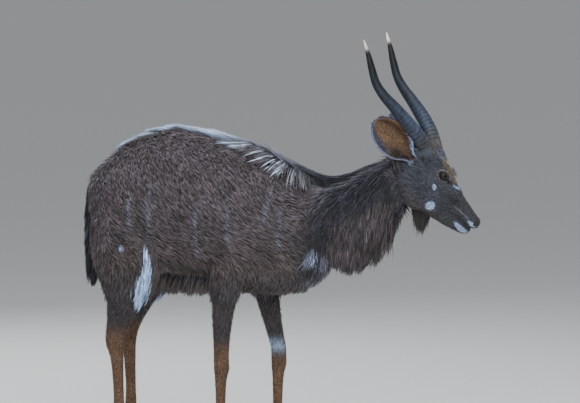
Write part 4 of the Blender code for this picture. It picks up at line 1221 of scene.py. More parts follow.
def add_bake_map(data, roots, across, along):
    """Writes the map, from each vertex's root and its place across and along its tuft."""
    flat = unwrapped(roots) + (np.column_stack([across, along]) - 0.5) * PATCH
    corners = np.empty(len(data.loops), np.int32)
    data.loops.foreach_get("vertex_index", corners)
    layer = data.uv_layers.new(name="OFBake")
    layer.data.foreach_set("uv", flat[corners].astype(np.float32).ravel())


print("a tuft's patch of the map is", PATCH, "of its side")

# %% [markdown]
# Short hair covers the skin but for the nose and the eyes. The skin is cut into patches to keep
# each piece light, and a patch tells the tree how dense and how long its tufts are.

# %% Growing the short coat


def patch_of_skin(name, chosen, cover, reach):
    """A patch of the skin's faces that carries what the tree reads."""
    used, faces = np.unique(SKIN_FACES[chosen], return_inverse=True)
    data = mesh_of(name, SKIN_POINTS[used], faces.reshape(-1, 3))
    points, outward = SKIN_POINTS[used], SKIN_NORMALS[used]
    add_vectors(data, "lie", coat_lie(points, outward))
    add_values(data, "cover", cover(points))
    add_values(data, "reach", reach(points))
    return placed(name, data)


def values_of(data, name, width=1):
    found = np.empty(len(data.vertices) * width)
    data.attributes[name].data.foreach_get("vector" if width == 3 else "value", found)
    return found.reshape(-1, 3) if width == 3 else found


def grown(obj, slot, seed, **sizes):
    """Grows a coat on a patch, turns it into a plain mesh and finishes it."""
    modifier = obj.modifiers.new("Coat", "NODES")
    modifier.node_group = COAT_TREE
    modifier[COAT_SOCKETS["Tuft"]] = tuft
    modifier[COAT_SOCKETS["Material"]] = FUR
    modifier[COAT_SOCKETS["Seed"]] = seed
    for name, usual in COAT_INPUTS:
        modifier[COAT_SOCKETS[name]] = float(sizes.get(name, usual)) * (SHARE if name == "Density" else 1.0)
    baked(obj)
    data = obj.data
    roots, across, along = values_of(data, "root", 3), values_of(data, "across"), values_of(data, "along")
    # A tuft takes the colour of the place that its middle covers.
    length = sizes["Length"] * values_of(data, "reach")[::TUFT_POINTS, None]
    middles = roots[::TUFT_POINTS] + values_of(data, "lie", 3)[::TUFT_POINTS] * length * 0.5
    add_colour(data, "coat", coat_colour(middles).repeat(TUFT_POINTS, axis=0))
    add_bake_map(data, roots, across, along)
    for name in ("lie", "cover", "reach", "root", "across"):
        data.attributes.remove(data.attributes[name])
    print(obj.name, len(data.polygons), "triangles")
    return finished(obj, FUR, slot)


print("a patch carries its lie, its cover and its reach")

# %% Patches of the coat
centres = SKIN_POINTS[SKIN_FACES].mean(axis=1)
on_head = beyond_neck(centres) > 0
on_leg = (centres[:, 2] < 0.60) & ~on_head
on_neck = (centres[:, 0] > 0.40) & ~on_head & ~on_leg
on_body = ~on_head & ~on_leg & ~on_neck


def everywhere(points):
    return np.ones(len(points))


def head_cover(points):
    """No fur on the nose and the eyes."""
    f, _, u = in_head(points).T
    nose = step(0.286, 0.294, f) * step(0.044, 0.048, u)
    eye = blob(in_head(points), EYE_PLACE, (0.0160, 0.03, 0.0125), 0.15)
    return np.clip(1 - nose - eye, 0, 1)


def head_reach(points):
    """Short on the muzzle, round the eyes and in the white marks, longer on the cheeks and the throat."""
    here = in_head(points)
    f, _, u = here.T
    reach = 0.55 + 0.9 * (1 - step(0.02, 0.20, f)) * (1 - 0.4 * step(0.06, 0.10, u))
    short = blob(here, EYE_PLACE, (0.032, 0.04, 0.026))
    short = np.maximum(short, blob(here, (0.144, 0.042, -0.011), (0.03, 0.03, 0.03)))
    short = np.maximum(short, blob(here, (0.112, 0.056, 0.050), (0.025, 0.03, 0.025)))
    return reach * (1 - short) + 0.50 * short


def leg_reach(points):
    return 0.45 + 0.75 * step(0.38, 0.60, points[:, 2])


def body_reach(points):
    """Shorter tufts round the white spot of each thigh."""
    return 1 - 0.55 * blob(points, (-0.266, 0.172, 0.755), (0.030, 0.06, 0.030))


BODY_COAT = {"Density": 42000, "Length": 0.031, "Width": 0.0035}
CUTS = (-1.0, -0.24, -0.05, 0.16, 1.0)
for part, (behind, ahead) in enumerate(zip(CUTS, CUTS[1:])):
    chosen = on_body & (centres[:, 0] >= behind) & (centres[:, 0] < ahead)
    patch = patch_of_skin(f"coat_body_{part + 1}", chosen, everywhere, body_reach)
    grown(patch, "body_coat", part + 1, **BODY_COAT)
patch = patch_of_skin("coat_neck", on_neck, everywhere, everywhere)
grown(patch, "dark_mane", 6, Density=34000, Length=0.055, Width=0.0040)
patch = patch_of_skin("coat_head", on_head, head_cover, head_reach)
grown(patch, "face_coat", 7, Density=120000, Length=0.0125, Width=0.0019)
patch = patch_of_skin("coat_legs", on_leg, everywhere, leg_reach)
grown(patch, "leg_coat", 8, Density=42000, Length=0.014, Width=0.0024)

# %% [markdown]
# ## Long hair
# The mane, the crest, the fringes and the tail's hair hang free of the skin, so each lock needs its
# own root and tip. The roots are found by rays from inside the body, and the tips lie where the
# solids' locks end. A curve bends each lock from its root to its tip, and neighbours share a clump.

# %% Locks as arrays
HAIR_SINK = 0.006


def blade_points(hair, width, lift, rows, wave):
    """The points of all blades, on curves that rise from the skin and fall to the tips in a wave."""
    roots, outs, tips, across = hair
    count = len(roots)
    t = np.linspace(0, 1, rows + 1)[None, :, None]
    start = roots - outs * HAIR_SINK
    middle = roots + outs * np.reshape(lift, (-1, 1)) + (tips - roots) * 0.32
    path = start[:, None] * (1 - t) ** 2 + middle[:, None] * 2 * t * (1 - t) + tips[:, None] * t**2
    tangent = np.gradient(path, axis=1)
    tangent /= np.maximum(np.linalg.norm(tangent, axis=2), 1e-9)[..., None]
    side = across[:, None] - tangent * (tangent * across[:, None]).sum(axis=2)[..., None]
    side /= np.maximum(np.linalg.norm(side, axis=2), 1e-9)[..., None]
    out = np.cross(tangent, side)
    phase, pace = DRAW.uniform(0, 6.3, (count, 1, 1)), DRAW.uniform(4.0, 8.0, (count, 1, 1))
    path = path + (side + out * 0.6) * np.sin(phase + pace * t) * wave * t
    half = width[:, None, None] / 2 * (0.75 + 0.5 * t - 0.9 * t**2)
    body = np.stack([path - side * half, path + out * half * 0.6, path + side * half], axis=2)[:, :rows]
    return np.concatenate([body.reshape(count, rows * 3, 3), path[:, -1:]], axis=1)


def locks(name, slot, hair, width, lift, colours, rows=5, wave=0.0025, even=0.0):
    """One mesh of many locks, each a tapered blade with three sides.

    The hair is its roots, the ways out of the skin, its tips and the directions across the blades.
    The colours are those of the roots and of the tips.
    """
    points = blade_points(hair, width, lift, rows, wave)
    count, per = points.shape[:2]
    faces = facing_out(blade_faces(rows), points[0])
    every = (faces[None] + (np.arange(count) * per)[:, None, None]).reshape(-1, 3)
    data = mesh_of(name, points.reshape(-1, 3), every)
    along = np.append(np.repeat(np.linspace(0, 1, rows + 1)[:rows], 3), 1.0)
    share = np.tile(along, count)
    low, high = (np.broadcast_to(colour, (count, 3)).repeat(per, axis=0) for colour in colours)
    add_colour(data, "coat", low * (1 - share[:, None]) + high * share[:, None])
    add_values(data, "along", share)
    tone = 0.5 + (DRAW.uniform(0, 1, count) - 0.5) * (1 - even)
    add_values(data, "tone", tone.repeat(per))
    sideways = np.tile(np.append(np.tile([0, 0.5, 1], rows), 0.5), count)
    add_bake_map(data, hair[0].repeat(per, axis=0), sideways, share)
    print(name, count, "locks,", len(every), "triangles")
    return finished(placed(name, data), LONG_FUR, slot)


print("a root lies", HAIR_SINK * 1000, "mm under the skin")

# %% Where long hair grows


def skin_hits(origins, directions):
    """Where rays from inside the body leave the skin: the places, the normals and which rays hit."""
    roots, outs, kept = [], [], []
    for i, (origin, direction) in enumerate(zip(origins, directions)):
        place, normal = SKIN_TREE.ray_cast(Vector(origin), Vector(direction))[:2]
        if place is None:
            continue
        roots.append(place[:])
        outs.append((normal if normal.dot(Vector(direction)) > 0 else -normal)[:])
        kept.append(i)
    return np.array(roots), np.array(outs), np.array(kept)


def near_skin(points, lift):
    """The points moved to a height over the skin."""
    found = []
    for point, height in zip(points, np.broadcast_to(lift, len(points))):
        place, normal = SKIN_TREE.find_nearest(Vector(point))[:2]
        found.append((place + normal * float(height))[:])
    return np.array(found)


def planted(starts):
    """The places on the skin nearest to the starts, and the way out of the skin there."""
    roots = near_skin(starts, 0.0)
    return roots, near_skin(starts, 1.0) - roots


def clumped(roots, tips, groups, pull):
    """Draws the tips of neighbouring locks together."""
    chosen = DRAW.choice(len(roots), min(groups, len(roots)), replace=False)
    gaps = ((roots[:, None] - roots[None, chosen]) ** 2).sum(axis=2)
    leader = chosen[np.argmin(gaps, axis=1)]
    shift = (tips[leader] - roots[leader]) - (tips - roots)
    gather = (roots[leader] - roots) * 0.7
    return tips + (shift + gather) * pull


def amount(number):
    return max(20, int(number * SHARE))


print("of a thousand locks,", amount(1000), "are made")

# %% [markdown]
# From throat to breast a bull wears long hair that is almost black. Rays from inside the neck find the
# roots, and the tips hang down to a measured line.

# %% The mane
RUFF_TIPS = (
    (0.455, 0.485, 0.530, 0.580, 0.635, 0.674, 0.700),
    (0.680, 0.660, 0.650, 0.672, 0.720, 0.812, 0.895),
)


NECK_LINE = np.array(NECK).T[:2]


def mane(count):
    x = DRAW.uniform(0.445, 0.700, count)
    slant = DRAW.uniform(-100, 100, count)
    angle = np.radians(slant)
    origins = np.column_stack([x, np.zeros(count), np.interp(x, *NECK_LINE)])
    aims = np.column_stack([DRAW.uniform(-0.15, 0.15, count), np.sin(angle), -np.cos(angle)])
    roots, outs, kept = skin_hits(origins, aims)
    x, reach = x[kept], np.abs(slant[kept]) / 66
    n = len(x)
    low = np.interp(x, *RUFF_TIPS) + 0.11 * reach**1.5 + DRAW.uniform(0.0, 0.035, n)
    drift = DRAW.uniform(-0.045, 0.004, n) * step(0.44, 0.54, x)
    spread = roots[:, 1] * (0.72 + 0.30 * np.minimum(reach, 1.3)) + DRAW.normal(0, 0.004, n)
    tips = clumped(roots, np.column_stack([roots[:, 0] + drift, spread, low]), n // 14, 0.55)
    inwards = 0.5 * np.sign(roots[:, 1]) * np.maximum(0, 1 - reach)
    across = unit(np.column_stack([np.full(n, 0.95), inwards, np.zeros(n)]))
    top = (RUFF_BROWN * 0.6 + SLATE * 0.4) * DRAW.uniform(0.55, 1.35, (n, 1))
    width, lift = DRAW.uniform(0.0032, 0.0062, n), 0.016
    hair = (roots, outs, tips, across)
    locks("mane", "dark_mane", hair, width, lift, (CHARCOAL * 0.8, top), rows=6, wave=0.004)


mane(amount(5200))

# %% [markdown]
# A crest runs along the spine, white on the back and dark on the neck. Its hair lies backwards, so
# each tip falls on a line that was measured over the back.

# %% The crest
CREST_TIPS = (
    (-0.41, -0.34, -0.23, -0.13, 0.0, 0.11, 0.20, 0.27, 0.33, 0.39, 0.435, 0.51, 0.60, 0.67),
    (1.028, 1.105, 1.162, 1.182, 1.168, 1.144, 1.120, 1.080, 1.050, 1.012, 1.004, 1.028, 1.064, 1.088),
)


def crest(count):
    """Hair along the spine that rises a little and then lies flat along the line of the back."""
    x = DRAW.uniform(-0.275, 0.690, count)
    y = DRAW.normal(0, 0.006, count)
    origins = np.column_stack([x, y, np.full(count, 0.93)])
    roots, outs, kept = skin_hits(origins, np.tile([0.0, 0.0, 1.0], (count, 1)))
    x, y = x[kept], y[kept]
    n = len(x)
    back = DRAW.uniform(0.075, 0.105, n) + 0.035 * step(-0.10, 0.05, x)
    behind = 1 - step(-0.02, 0.10, x)
    fall = DRAW.uniform(0.0, 1.0, n) * (0.005 + 0.015 * step(-0.05, 0.12, x))
    fall += 0.013 * behind * step(0.003, 0.007, np.abs(y))
    tips = np.column_stack([x - back, y * 1.8, np.interp(x - back, *CREST_TIPS) - fall])
    tips = clumped(roots, tips, n // 12, 0.35)
    across = unit(np.column_stack([np.zeros(n), np.ones(n), DRAW.uniform(-0.6, 0.6, n)]))
    white = (1 - step(0.16, 0.26, x + DRAW.normal(0, 0.020, n))) * (DRAW.uniform(0, 1, n) > 0.08)
    # Behind the middle of the back the white is a thin line and the hair beside it is grey.
    edge = step(0.008 - 0.005 * behind, 0.016 - 0.009 * behind, np.abs(y))
    dark = mix(np.tile(CHARCOAL, (n, 1)), SLATE * 0.6, behind)
    root_colour = mix(dark, WHITE, (0.85 - 0.5 * behind) * white * (1 - edge))
    tip_colour = mix(dark * 1.8, WHITE * 1.1, np.clip(white * (1 - (0.6 + 0.4 * behind) * edge), 0, 1))
    tipped = (x > 0.16) & (x < 0.42) & (DRAW.uniform(0, 1, n) < 0.35)
    tip_colour = mix(tip_colour, PALE, 0.8 * tipped)
    width = DRAW.uniform(0.0030, 0.0050, n)
    lift = 0.006 + 0.010 * step(-0.05, 0.12, x)
    hair = (roots, outs, tips, across)
    locks("crest", "body_coat", hair, width, lift, (root_colour, tip_colour), wave=0.001, even=0.4)


crest(amount(2600))

# %% [markdown]
# Over the shoulder the hair spreads in strands, some tipped with white. Painted strands would look
# flat, so real locks are gathered into strands and laid close to the skin.

# %% The fan over the withers
FAN_MIDDLE, FAN_STRANDS = 0.265, 15


def fan_angle(turn):
    """The direction of a hair at a place in the fan: from straight back to down and a little forward."""
    return np.radians(183 + 109 * turn**1.3)


def withers(count):
    """Long hair on each side that spreads from the ridge like a fan, tipped with white."""
    side = DRAW.choice([-1.0, 1.0], count)
    turn = DRAW.uniform(0, 1, count)
    # A few hairs stand behind the fan and lie straight back.
    behind = DRAW.uniform(0, 1, count) < 0.10
    turn = np.where(behind, 0.0, turn)
    angle = fan_angle(turn)
    # The roots stand along the ridge, inside the hair of the crest.
    x = FAN_MIDDLE + 0.165 * (turn - 0.5) - 0.030 * behind + DRAW.normal(0, 0.012, count)
    height = np.interp(x, *CREST_TIPS) - DRAW.uniform(0.014, 0.026, count)
    roots = np.column_stack([x, side * 0.014, height])
    outs = unit(np.column_stack([np.zeros(count), side, np.full(count, 0.5)]))
    length = DRAW.uniform(0.055, 0.125, count)
    lie = np.column_stack([np.cos(angle), 0.35 * side, np.sin(angle)])
    tips = near_skin(roots + unit(lie) * length[:, None], DRAW.uniform(0.012, 0.020, count))
    # Hairs whose turn falls in the same share of the fan gather in one strand.
    strand = np.floor(turn * FAN_STRANDS)
    order = (strand + 31 * (side > 0)).astype(int)
    bright = (DRAW.uniform(0, 1, 64)[order] < 0.48) & (DRAW.uniform(0, 1, count) < 0.65) | behind
    bunch = fan_angle((strand + 0.5) / FAN_STRANDS)
    aim = np.column_stack([np.cos(bunch), 0.35 * side, np.sin(bunch)])
    gathered = near_skin(roots + unit(aim) * length[:, None], DRAW.uniform(0.012, 0.020, count))
    tips = tips * 0.15 + gathered * 0.85
    root_colour = np.where(bright[:, None], SLATE * 1.2, CHARCOAL)
    tip_colour = np.where(bright[:, None], WHITE, SLATE * 0.9)
    across = unit(np.cross(outs, lie))
    width = DRAW.uniform(0.0030, 0.0050, count)
    hair = (roots, outs, tips, across)
    locks("withers_fan", "body_coat", hair, width, 0.018, (root_colour, tip_colour), wave=0.001)


withers(amount(520))

# %% [markdown]
# Long hair hangs in points along the middle of the belly. Rays go down from inside the trunk, and
# the tips of neighbours are drawn together into points.

# %% The belly's fringe
BELLY_TIPS = ((-0.18, -0.05, 0.05, 0.20, 0.30, 0.36, 0.41), (0.572, 0.572, 0.578, 0.585, 0.585, 0.595, 0.640))


def belly(count):
    x = DRAW.uniform(-0.185, 0.415, count)
    slant = DRAW.normal(0, 0.30, count)
    origins = np.column_stack([x, np.zeros(count), np.full(count, 0.74)])
    roots, outs, kept = skin_hits(origins, np.column_stack([np.zeros(count), np.sin(slant), -np.cos(slant)]))
    x = x[kept]
    n = len(x)
    low = np.interp(x, *BELLY_TIPS) + DRAW.uniform(0.0, 0.022, n) + 0.5 * np.abs(roots[:, 1])
    spread = roots[:, 1] * 1.1 + DRAW.normal(0, 0.004, n)
    tips = clumped(roots, np.column_stack([x - DRAW.uniform(0.005, 0.035, n), spread, low]), n // 12, 0.5)
    across = unit(np.column_stack([np.ones(n), DRAW.uniform(-0.5, 0.5, n), np.zeros(n)]))
    tip_colour = mix(np.tile(UMBER * 0.9, (n, 1)), PALE, 0.8 * step(0.34, 0.39, x))
    width, lift = DRAW.uniform(0.0034, 0.0060, n), 0.006
    hair = (roots, outs, tips, across)
    locks("belly_fringe", "body_coat", hair, width, lift, (CHARCOAL, tip_colour), wave=0.003)


belly(amount(2200))

# %% [markdown]
# A small white fan shows between shoulder and mane. Its hair is planted round one place and spreads
# downwards, which is simpler than a mask painted on the coat.

# %% White hair on the breast
BREAST_ROOT = (0.410, 0.098, 0.762)


def breast(count):
    """A small fan of white hair between the shoulder and the mane."""
    side = DRAW.choice([-1.0, 1.0], count)
    turn = DRAW.uniform(-1, 1, count)
    starts = np.column_stack(
        [
            BREAST_ROOT[0] + DRAW.normal(0, 0.006, count) + 0.008 * turn,
            side * BREAST_ROOT[1],
            BREAST_ROOT[2] + DRAW.normal(0, 0.010, count),
        ]
    )
    roots, outs = planted(starts)
    lie = np.column_stack([0.60 * turn - 0.15, 0.1 * side, np.full(count, -1.0)])
    length = DRAW.uniform(0.030, 0.085, count)
    tips = near_skin(roots + unit(lie) * length[:, None], DRAW.uniform(0.014, 0.022, count))
    across = unit(np.cross(outs, lie))
    bright = (np.abs(turn - 0.40) < 0.32)[:, None]
    tip_colour = np.where(bright, SHADED_WHITE, PALE * 0.6)
    width, lift = DRAW.uniform(0.0030, 0.0046, count), 0.016
    hair = (roots, outs, tips, across)
    locks("breast_fan", "body_coat", hair, width, lift, (tip_colour * 0.7, tip_colour), wave=0.002)


breast(amount(150))

# %% [markdown]
# A white plume runs down the front of each thigh, with dark hair before it. One function makes both,
# because only their colour and their place differ.

# %% The plume on each thigh
PLUME_LINE = ((0.56, 0.62, 0.68, 0.73, 0.795), (-0.214, -0.196, -0.180, -0.172, -0.178))


def plume(count, white):
    """White hair down the front of the thigh, or the dark hair just in front of it."""
    z = DRAW.triangular(0.590, 0.670, 0.795, count)
    name = np.where(DRAW.uniform(0, 1, count) < 0.5, "hind_right", "hind_left")
    # The plume is narrow at its top and its foot and broad between.
    narrow = 0.24 + 0.86 * (1 - step(0.64, 0.78, z)) * (0.30 + 0.70 * step(0.590, 0.660, z))
    ahead = DRAW.normal(0, 0.0100, count) * narrow + (-0.003 if white else 0.026)
    x = np.interp(z, *PLUME_LINE) + ahead
    origins = np.array([leg_centre(str(n), float(a), float(b))[:] for n, a, b in zip(name, x, z)])
    side = np.where(name == "hind_right", -1.0, 1.0)
    roots, outs, _ = skin_hits(origins, np.column_stack([np.zeros(count), side, np.zeros(count)]))
    n = len(roots)
    fall = DRAW.uniform(-0.42, 0.02, n) * (1 - step(0.64, 0.76, roots[:, 2])) - 0.04
    length = DRAW.uniform(0.04, 0.12, n) * np.clip((roots[:, 2] - 0.510) / 0.14, 0.4, 1)
    lie = unit(np.column_stack([fall, np.zeros(n), -np.ones(n)]))
    tips = near_skin(roots + lie * length[:, None], DRAW.uniform(0.010, 0.022, n))
    tips = clumped(roots, tips, n // 7, 0.45)
    across = np.tile([1.0, 0.0, 0.0], (n, 1))
    # The white locks darken towards their roots: painted shade among the locks.
    first, last = (SHADED_WHITE * 0.5, SHADED_WHITE * 1.25) if white else (CHARCOAL, UMBER * 0.8)
    title = "thigh_plume" if white else "thigh_fringe"
    width, lift = DRAW.uniform(0.0026, 0.0046, n), 0.014
    hair = (roots, outs, tips, across)
    locks(title, "body_coat", hair, width, lift, (first, last), wave=0.003)


plume(amount(1100), True)
plume(amount(700), False)

# %% [markdown]
# The tail is bushy, dark in its middle and at its end, and pale at its edges. Hair grows all round a
# thin core and hangs down.

# %% The tail's hair


def tail_hair(count):
    z = DRAW.uniform(0.63, 0.985, count)
    angle = DRAW.uniform(-math.pi, math.pi, count)
    x = np.interp(z, [row[1] for row in reversed(TAIL)], [row[0] for row in reversed(TAIL)])
    origins = np.column_stack([x, np.zeros(count), z])
    directions = np.column_stack([np.cos(angle), np.sin(angle), np.zeros(count)])
    roots, outs, kept = skin_hits(origins, directions)
    z, x = z[kept], x[kept]
    near = np.linalg.norm(roots[:, :2] - np.column_stack([x, np.zeros(len(x))]), axis=1) < 0.04
    roots, outs, z, x = roots[near], outs[near], z[near], x[near]
    n = len(z)
    low = np.maximum(0.600, z - DRAW.uniform(0.06, 0.12, n)) + DRAW.uniform(0, 0.02, n)
    behind = -0.010 - 0.012 * (z > 0.70)
    spread = roots[:, 1] * 1.35 + DRAW.normal(0, 0.003, n)
    tips = clumped(roots, np.column_stack([x + behind + 0.45 * (roots[:, 0] - x), spread, low]), n // 12, 0.5)
    edge = step(0.012, 0.022, np.abs(roots[:, 1]))
    pale_part = step(0.68, 0.74, z) * (1 - step(0.80, 0.88, z))
    colour = mix(np.tile(CHARCOAL * 0.85, (n, 1)), SHADED_WHITE, 0.5 * edge * pale_part)
    colour = mix(colour, SOOT * 0.7, 1 - step(0.66, 0.72, z))
    across = unit(np.column_stack([-outs[:, 1], outs[:, 0], np.zeros(n)]) + 1e-6)
    width, lift = DRAW.uniform(0.0028, 0.0050, n), 0.008
    hair = (roots, outs, tips, across)
    locks("tail_hair", "dark_mane", hair, width, lift, (CHARCOAL, colour), wave=0.003)


tail_hair(amount(1500))

# %% [markdown]
# A few wavy locks hang from the throat behind the jaw. They are few, so that each can be seen.

# %% The beard


def beard(count):
    x = DRAW.uniform(0.722, 0.785, count)
    y = DRAW.normal(0, 0.012, count)
    origins = np.column_stack([x, y, np.full(count, 0.97)])
    roots, outs, _ = skin_hits(origins, np.tile([0.0, 0.0, -1.0], (count, 1)))
    n = len(roots)
    ends = np.column_stack([np.full(n, 0.751), roots[:, 1] * 0.5, np.full(n, 0.812)])
    ends += DRAW.normal(0, 0.008, (n, 3))
    tips = roots + (ends - roots) * DRAW.uniform(0.35, 1.0, (n, 1))
    tips = clumped(roots, tips, n // 10, 0.4)
    across = unit(DRAW.normal(0, 1, (n, 3)) * [1, 1, 0.1])
    width, lift = DRAW.uniform(0.0025, 0.0045, n), 0.004
    hair = (roots, outs, tips, across)
    locks("beard", "dark_mane", hair, width, lift, (SOOT, RUFF_BROWN * 0.8), wave=0.006)


beard(amount(520))

# %% [markdown]
# A horn has no sharp lower edge, because the scalp's hair leans on it. Short locks in a ring
# cover the join.

# %% Hair round the foot of each horn


def coronet(side, word, count):
    """Short hair that leans on the horn and hides where it leaves the skull."""
    point, direction = horn_foot(side)
    angle = DRAW.uniform(0, 2 * math.pi, count)
    first = np.array(direction.orthogonal().normalized())
    axis = np.array(direction)
    ring = first * np.cos(angle)[:, None] + np.cross(axis, first) * np.sin(angle)[:, None]
    starts = np.array(point) - axis * 0.012 + ring * DRAW.uniform(0.026, 0.036, (count, 1))
    roots, outs = planted(starts)
    reach = DRAW.uniform(0.026, 0.056, (count, 1))
    tips = roots + axis * reach * 0.85 + outs * 0.006 - ring * 0.004
    inner = np.abs(in_head(roots)[:, 1]) < HORN[1][1] - 0.016
    colour = np.where(inner[:, None], UMBER * 0.4, FACE_GREY * 0.9)
    across = unit(np.cross(outs, np.tile(axis, (count, 1))))
    width, colours = DRAW.uniform(0.0020, 0.0034, count), (colour * 0.7, colour)
    hair = (roots, outs, tips, across)
    locks("coronet_" + word, "face_coat", hair, width, 0.003, colours, rows=3, wave=0.001)


for side, word in SIDES:
    coronet(side, word, amount(640))

# %% [markdown]
# ## Horns
# A nyala's horn is a ridged cone that bends like a lyre, with a keel that starts at the front and
# winds outwards. Low rings cross its lower half, and its tip is worn to ivory. The loft follows the
# solids' rows with far more rings, and the ridges are part of the radius.

# %% Horns
HORN_FRONT = Vector((0.72, 0.0, 0.69))
KEEL_START, KEEL_TURN, KEEL_HEIGHT = math.radians(-20), math.radians(140), 0.20
HORN_SIDES, HORN_STEPS = 36, 14


def horn(side):
    rows = through(HORN, HORN_STEPS)
    rings, shares, ridge_shades = [], [], []
    for i, row in enumerate(rows):
        ahead = rows[min(i + 1, len(rows) - 1)] - rows[max(i - 1, 0)]
        tangent = Vector((ahead[0], side * ahead[1], ahead[2])).normalized()
        forward = (HORN_FRONT - tangent * tangent.dot(HORN_FRONT)).normalized()
        outward = tangent.cross(forward) * side
        share = i / (len(rows) - 1)
        keel = KEEL_START + KEEL_TURN * share
        rise = math.sin(i * 1.57) * max(0.0, 1 - share / 0.75)
        ring = []
        for k in range(HORN_SIDES):
            angle = 2 * math.pi * k / HORN_SIDES
            crest_height = (1 - share) * max(0.0, math.cos(angle - keel)) ** 6
            radius = row[3] * (1 + KEEL_HEIGHT * crest_height) * (1 + 0.034 * rise)
            offset = (forward * math.cos(angle) + outward * math.sin(angle)) * radius
            ring.append(HEAD_ORIGIN + HEAD_TURN @ (Vector((row[0], side * row[1], row[2])) + offset))
            shares.append(share)
            # The value rise holds painted light and shade: lighter on the ring crests and the keel, darker in
            # the grooves.
            ridge_shades.append(0.5 + 0.45 * rise + 0.75 * crest_height)
        rings.append(ring)
    obj = loft("horn", rings)
    add_values(obj.data, "share", shares)
    add_values(obj.data, "rise", ridge_shades)
    return obj


print("rings of a horn:", (len(HORN) - 1) * HORN_STEPS + 1)

# %% Keratin of the horns
# The horn's colours from its foot to its tip, as shares of its length; the blue at 0.30 is a painted sky
# sheen.
HORN_COLOURS = (
    (0.10, (0.033, 0.028, 0.022)),
    (0.30, (0.021, 0.029, 0.047)),
    (0.55, (0.010, 0.014, 0.021)),
    (0.915, (0.006, 0.007, 0.008)),
    (0.93, (0.10, 0.09, 0.07)),
    (0.95, (0.55, 0.52, 0.45)),
)


def horn_material():
    made, tree, shader = new_material("horn keratin")
    ramp = wired(tree, "ShaderNodeValToRGB", {"Fac": attribute(tree, "share")})
    bands = ramp.color_ramp.elements
    for place, colour in HORN_COLOURS:
        bands.new(place).color = (*colour, 1)
    bands.remove(bands[0])
    bands.remove(bands[-1])
    grain = noise(tree, 90, 4.0, (1.0, 1.0, 0.25))
    # Painted highlight on the ring crests and the keel, painted shade in the grooves between the rings.
    painted_ridge_shading = ranged(tree, attribute(tree, "rise"), 0.55, 1.9)
    shade = product(tree, ranged(tree, grain, 0.65, 1.5, 0.3, 0.7), painted_ridge_shading)
    tree.links.new(colour_product(tree, ramp.outputs["Color"], shade), shader.inputs["Base Color"])
    shader.inputs["Roughness"].default_value = 0.48
    shader.inputs["Specular IOR Level"].default_value = 0.22
    tree.links.new(bump(tree, grain, 0.0008), shader.inputs["Normal"])
    return made


KERATIN = horn_material()
for side, word in SIDES:
    piece = horn(side)
    piece.name = "horn_sheath_" + word
    finished(piece, KERATIN, "horn", "horn_" + word)
    print(piece.name, len(piece.data.polygons), "faces")

# %% [markdown]
# ## Hooves
# Each foot stands on two claws with a narrow cleft between them. A claw is high at the toe, nearly
# flat on its outer side and set level on the ground. Faint growth lines run round it.

# %% Hooves


def hoof_claw(name, inner):
    rows, _, side, _ = LEGS[name]
    x = float(np.interp(HOOF_TOP, [rows[-1][1], rows[-2][1]], [rows[-1][0], rows[-2][0]]))
    centre = leg_centre(name, x, 0.0)
    half_gap, half_sole = 0.0012, 0.0135
    shift = (half_gap + half_sole) * (-side if inner else side)
    levels = (
        (0.0, 0.044, 0.034, half_sole - 0.0012),
        (0.003, 0.0455, 0.035, half_sole),
        (0.020, 0.040, 0.033, half_sole),
        (0.040, 0.031, 0.029, 0.0123),
        (HOOF_TOP - 0.0003, 0.0235, 0.0235, 0.0108),
    )
    rings = []
    for i, (z, toe, heel, half) in enumerate(through(levels, 5)):
        forward = 0.010 * (1 - z / HOOF_TOP)
        place = centre + Vector((forward, shift * (0.80 + 0.20 * half / half_sole), max(0.0, z)))
        grow = 1 + 0.006 * math.sin(i * 2.1) * (0 < i < 19)
        across, ahead = Vector((0, 1, 0)), Vector((1, 0, 0))
        rings.append(section(place, across, ahead, half, toe * grow, heel, top=1.7, sides=36))
    return loft("hoof", rings)


print("height of a claw:", HOOF_TOP)

# %% Keratin of the hooves


def hoof_material():
    made, tree, shader = new_material("hoof keratin")
    grain = noise(tree, 160, 4.0, (1.0, 1.0, 0.2))
    ramp = wired(tree, "ShaderNodeValToRGB", {"Fac": grain})
    ramp.color_ramp.elements[0].color = (0.018, 0.014, 0.012, 1)
    ramp.color_ramp.elements[1].color = (0.075, 0.060, 0.048, 1)
    tree.links.new(ramp.outputs["Color"], shader.inputs["Base Color"])
    shader.inputs["Roughness"].default_value = 0.42
    tree.links.new(bump(tree, grain, 0.0006), shader.inputs["Normal"])
    return made


HOOF = hoof_material()
for name in LEGS:
    for inner, word in ((True, "inner"), (False, "outer")):
        piece = hoof_claw(name, inner)
        piece.name = f"claw_{name}_{word}"
        finished(piece, HOOF, "hoof", f"hoof_{name}_{word}")
dews = []
for name in LEGS:
    x, z, _, _, behind = LEGS[name][0][-4]
    for offset in (-0.012, 0.012):
        centre = leg_centre(name, x, z) + Vector((-behind + 0.001, offset, -0.014))
        dews.append(ellipsoid("dew", centre, (0.008, 0.0075, 0.013), Matrix.Rotation(0.5, 3, "Y")))
finished(joined("dew_claws", dews), HOOF, "hoof")
print("hooves:", 8, "claws and", len(dews), "dew claws")

# %% [markdown]
# ## Ears
# An ear is a thin cupped leaf. The same leaf as in the solids gets more rows, a rolled rim and an
# open cup. Inside it is orange brown, darker towards the hollow, with pale hair along the rim, and
# outside it is dark grey like the neck.

# %% Ears
EAR_STEPS, EAR_SIDES = 28, 24


